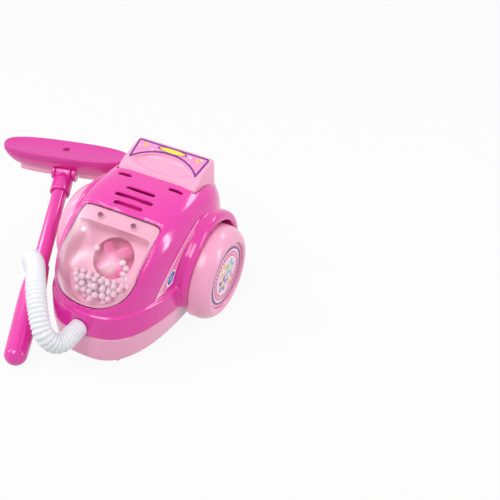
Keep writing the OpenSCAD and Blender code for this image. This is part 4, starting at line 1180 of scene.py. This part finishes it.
# %% Sticker print
sticker_paper, wire = new_finish("side_sticker_paper")
place = place_on(wire)
lengthways = place.dot((0, 780.0, 625.0))
crossways = place.dot((0, 625.0, -780.0))
hatch = wire.node("Math", {"operation": "SINE"}, {0: lengthways * 2.4 + crossways * 1.2})
tone = blend(hatch.above(0.1, 0.3), ink(248, 168, 206), ink(236, 74, 150))
y_mm, z_mm = place.dot((0, 1000.0, 0)), place.dot((0, 0, 1000.0))
gem_along, gem_across = y_mm * 0.62 + z_mm * 0.78, y_mm * 0.78 - z_mm * 0.62
gem = (((gem_along - 16.5) / 5.4) ** 2 + ((gem_across + 70.7) / 2.6) ** 2) ** 0.5
tone = blend(gem.below(1.25, 0.05), tone, white)
tone = blend(gem.below(1.0, 0.05), tone, ink(34, 104, 190))
tone = blend(gem.below(0.45, 0.2), tone, ink(120, 200, 240))
printed(wire, tone, place)
for name in ("left_side_sticker_print", "right_side_sticker_print"):
    bpy.data.objects[name].data.materials[0] = sticker_paper
print("sticker print ready")

# %% [markdown]
# ## Small CAD pieces that stay
# The axle, the cells, the switch, the door, the screws under the toy and of the nozzle, and the parts inside
# keep their CAD shape, which is right already. They only need a finish.

# %% Finishes of the CAD pieces
keep = {"motor": steel, "motor_shaft": steel, "axle": steel, "axle_clips": steel,
        "battery_door": pale_pink, "door_screw": steel, "batteries": cell_jacket, "battery_contacts": steel,
        "switch_body": dark_plastic, "switch_knob": hot_pink, "case_screws": steel, "hose_spigot": hot_pink,
        "nozzle_pin": steel, "nozzle_screw": screw_lacquer}
for name, finish in keep.items():
    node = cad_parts[name]
    node.data.materials.clear()
    node.data.materials.append(finish)
print("finished", len(keep), "CAD nodes")

# %% [markdown]
# ## Floor and light
# The photo has a bare white ground. The floor is pale, and rays that come from the camera or from a shiny
# surface see it nearly white, while it still takes the shadow of the toy. Four strip lamps draw the streaks
# on the plastic and a square one above fills the top.

# %% Floor
def seen_directly(wire):
    seen = wire.node("LightPath", None, None, "Is Camera Ray")
    for ray in ("Is Glossy Ray", "Is Transmission Ray"):
        seen = wire.sum("MAXIMUM", seen, wire.node("LightPath", None, None, ray))
    return seen


floor_half = 6000
floor_corners = [(x * floor_half, y * floor_half, 0) for x, y in ((-1, -1), (1, -1), (1, 1), (-1, 1))]
floor = put("floor", floor_corners, [(0, 1, 2, 3)], 0)
floor_white, wire = new_finish("floor_white")
matt = wire.node("BsdfDiffuse", None, {"Color": (0.62, 0.62, 0.62, 1)})
glow = wire.node("Emission", None, {"Color": (1, 1, 1, 1), "Strength": 1.0})
mixed = wire.node("MixShader", None, {"Fac": seen_directly(wire) * 0.93, 1: matt, 2: glow})
wire.node("OutputMaterial", None, {"Surface": mixed})
floor.data.materials.append(floor_white)
print("floor ready")

# %% World and lamps
world = bpy.data.worlds.new("studio")
bpy.context.scene.world = world
world.use_nodes = True
world.node_tree.nodes.clear()
wire = Wire(world.node_tree)
sky = wire.node("Background", None, {"Color": (1, 1, 1, 1), "Strength": 0.42 + 0.58 * seen_directly(wire)})
wire.node("OutputWorld", None, {"Surface": sky})


lamp_aim = Vector((0, -0.02, 0.05))


def lamp(name, place, size, watts):
    light = bpy.data.lights.new(name, "AREA")
    light.shape, light.size, light.size_y, light.energy = "RECTANGLE", size[0], size[1], watts
    stand = bpy.data.objects.new(name, light)
    stand.location = place
    stand.rotation_euler = (lamp_aim - Vector(place)).to_track_quat("-Z", "Y").to_euler()
    bpy.context.scene.collection.objects.link(stand)


lamp("right_strip", (0.82, 0.20, 0.41), (0.10, 0.70), 2.7)
lamp("left_strip", (-0.62, -0.48, 0.62), (0.13, 0.60), 2.1)
lamp("far_strip", (-0.74, 0.06, 0.60), (0.10, 0.55), 1.3)
lamp("back_strip", (0.24, 0.66, 0.66), (0.34, 0.12), 1.0)
lamp("top_soft", (-0.04, -0.58, 0.86), (0.46, 0.46), 4.2)


bpy.context.view_layer.update()
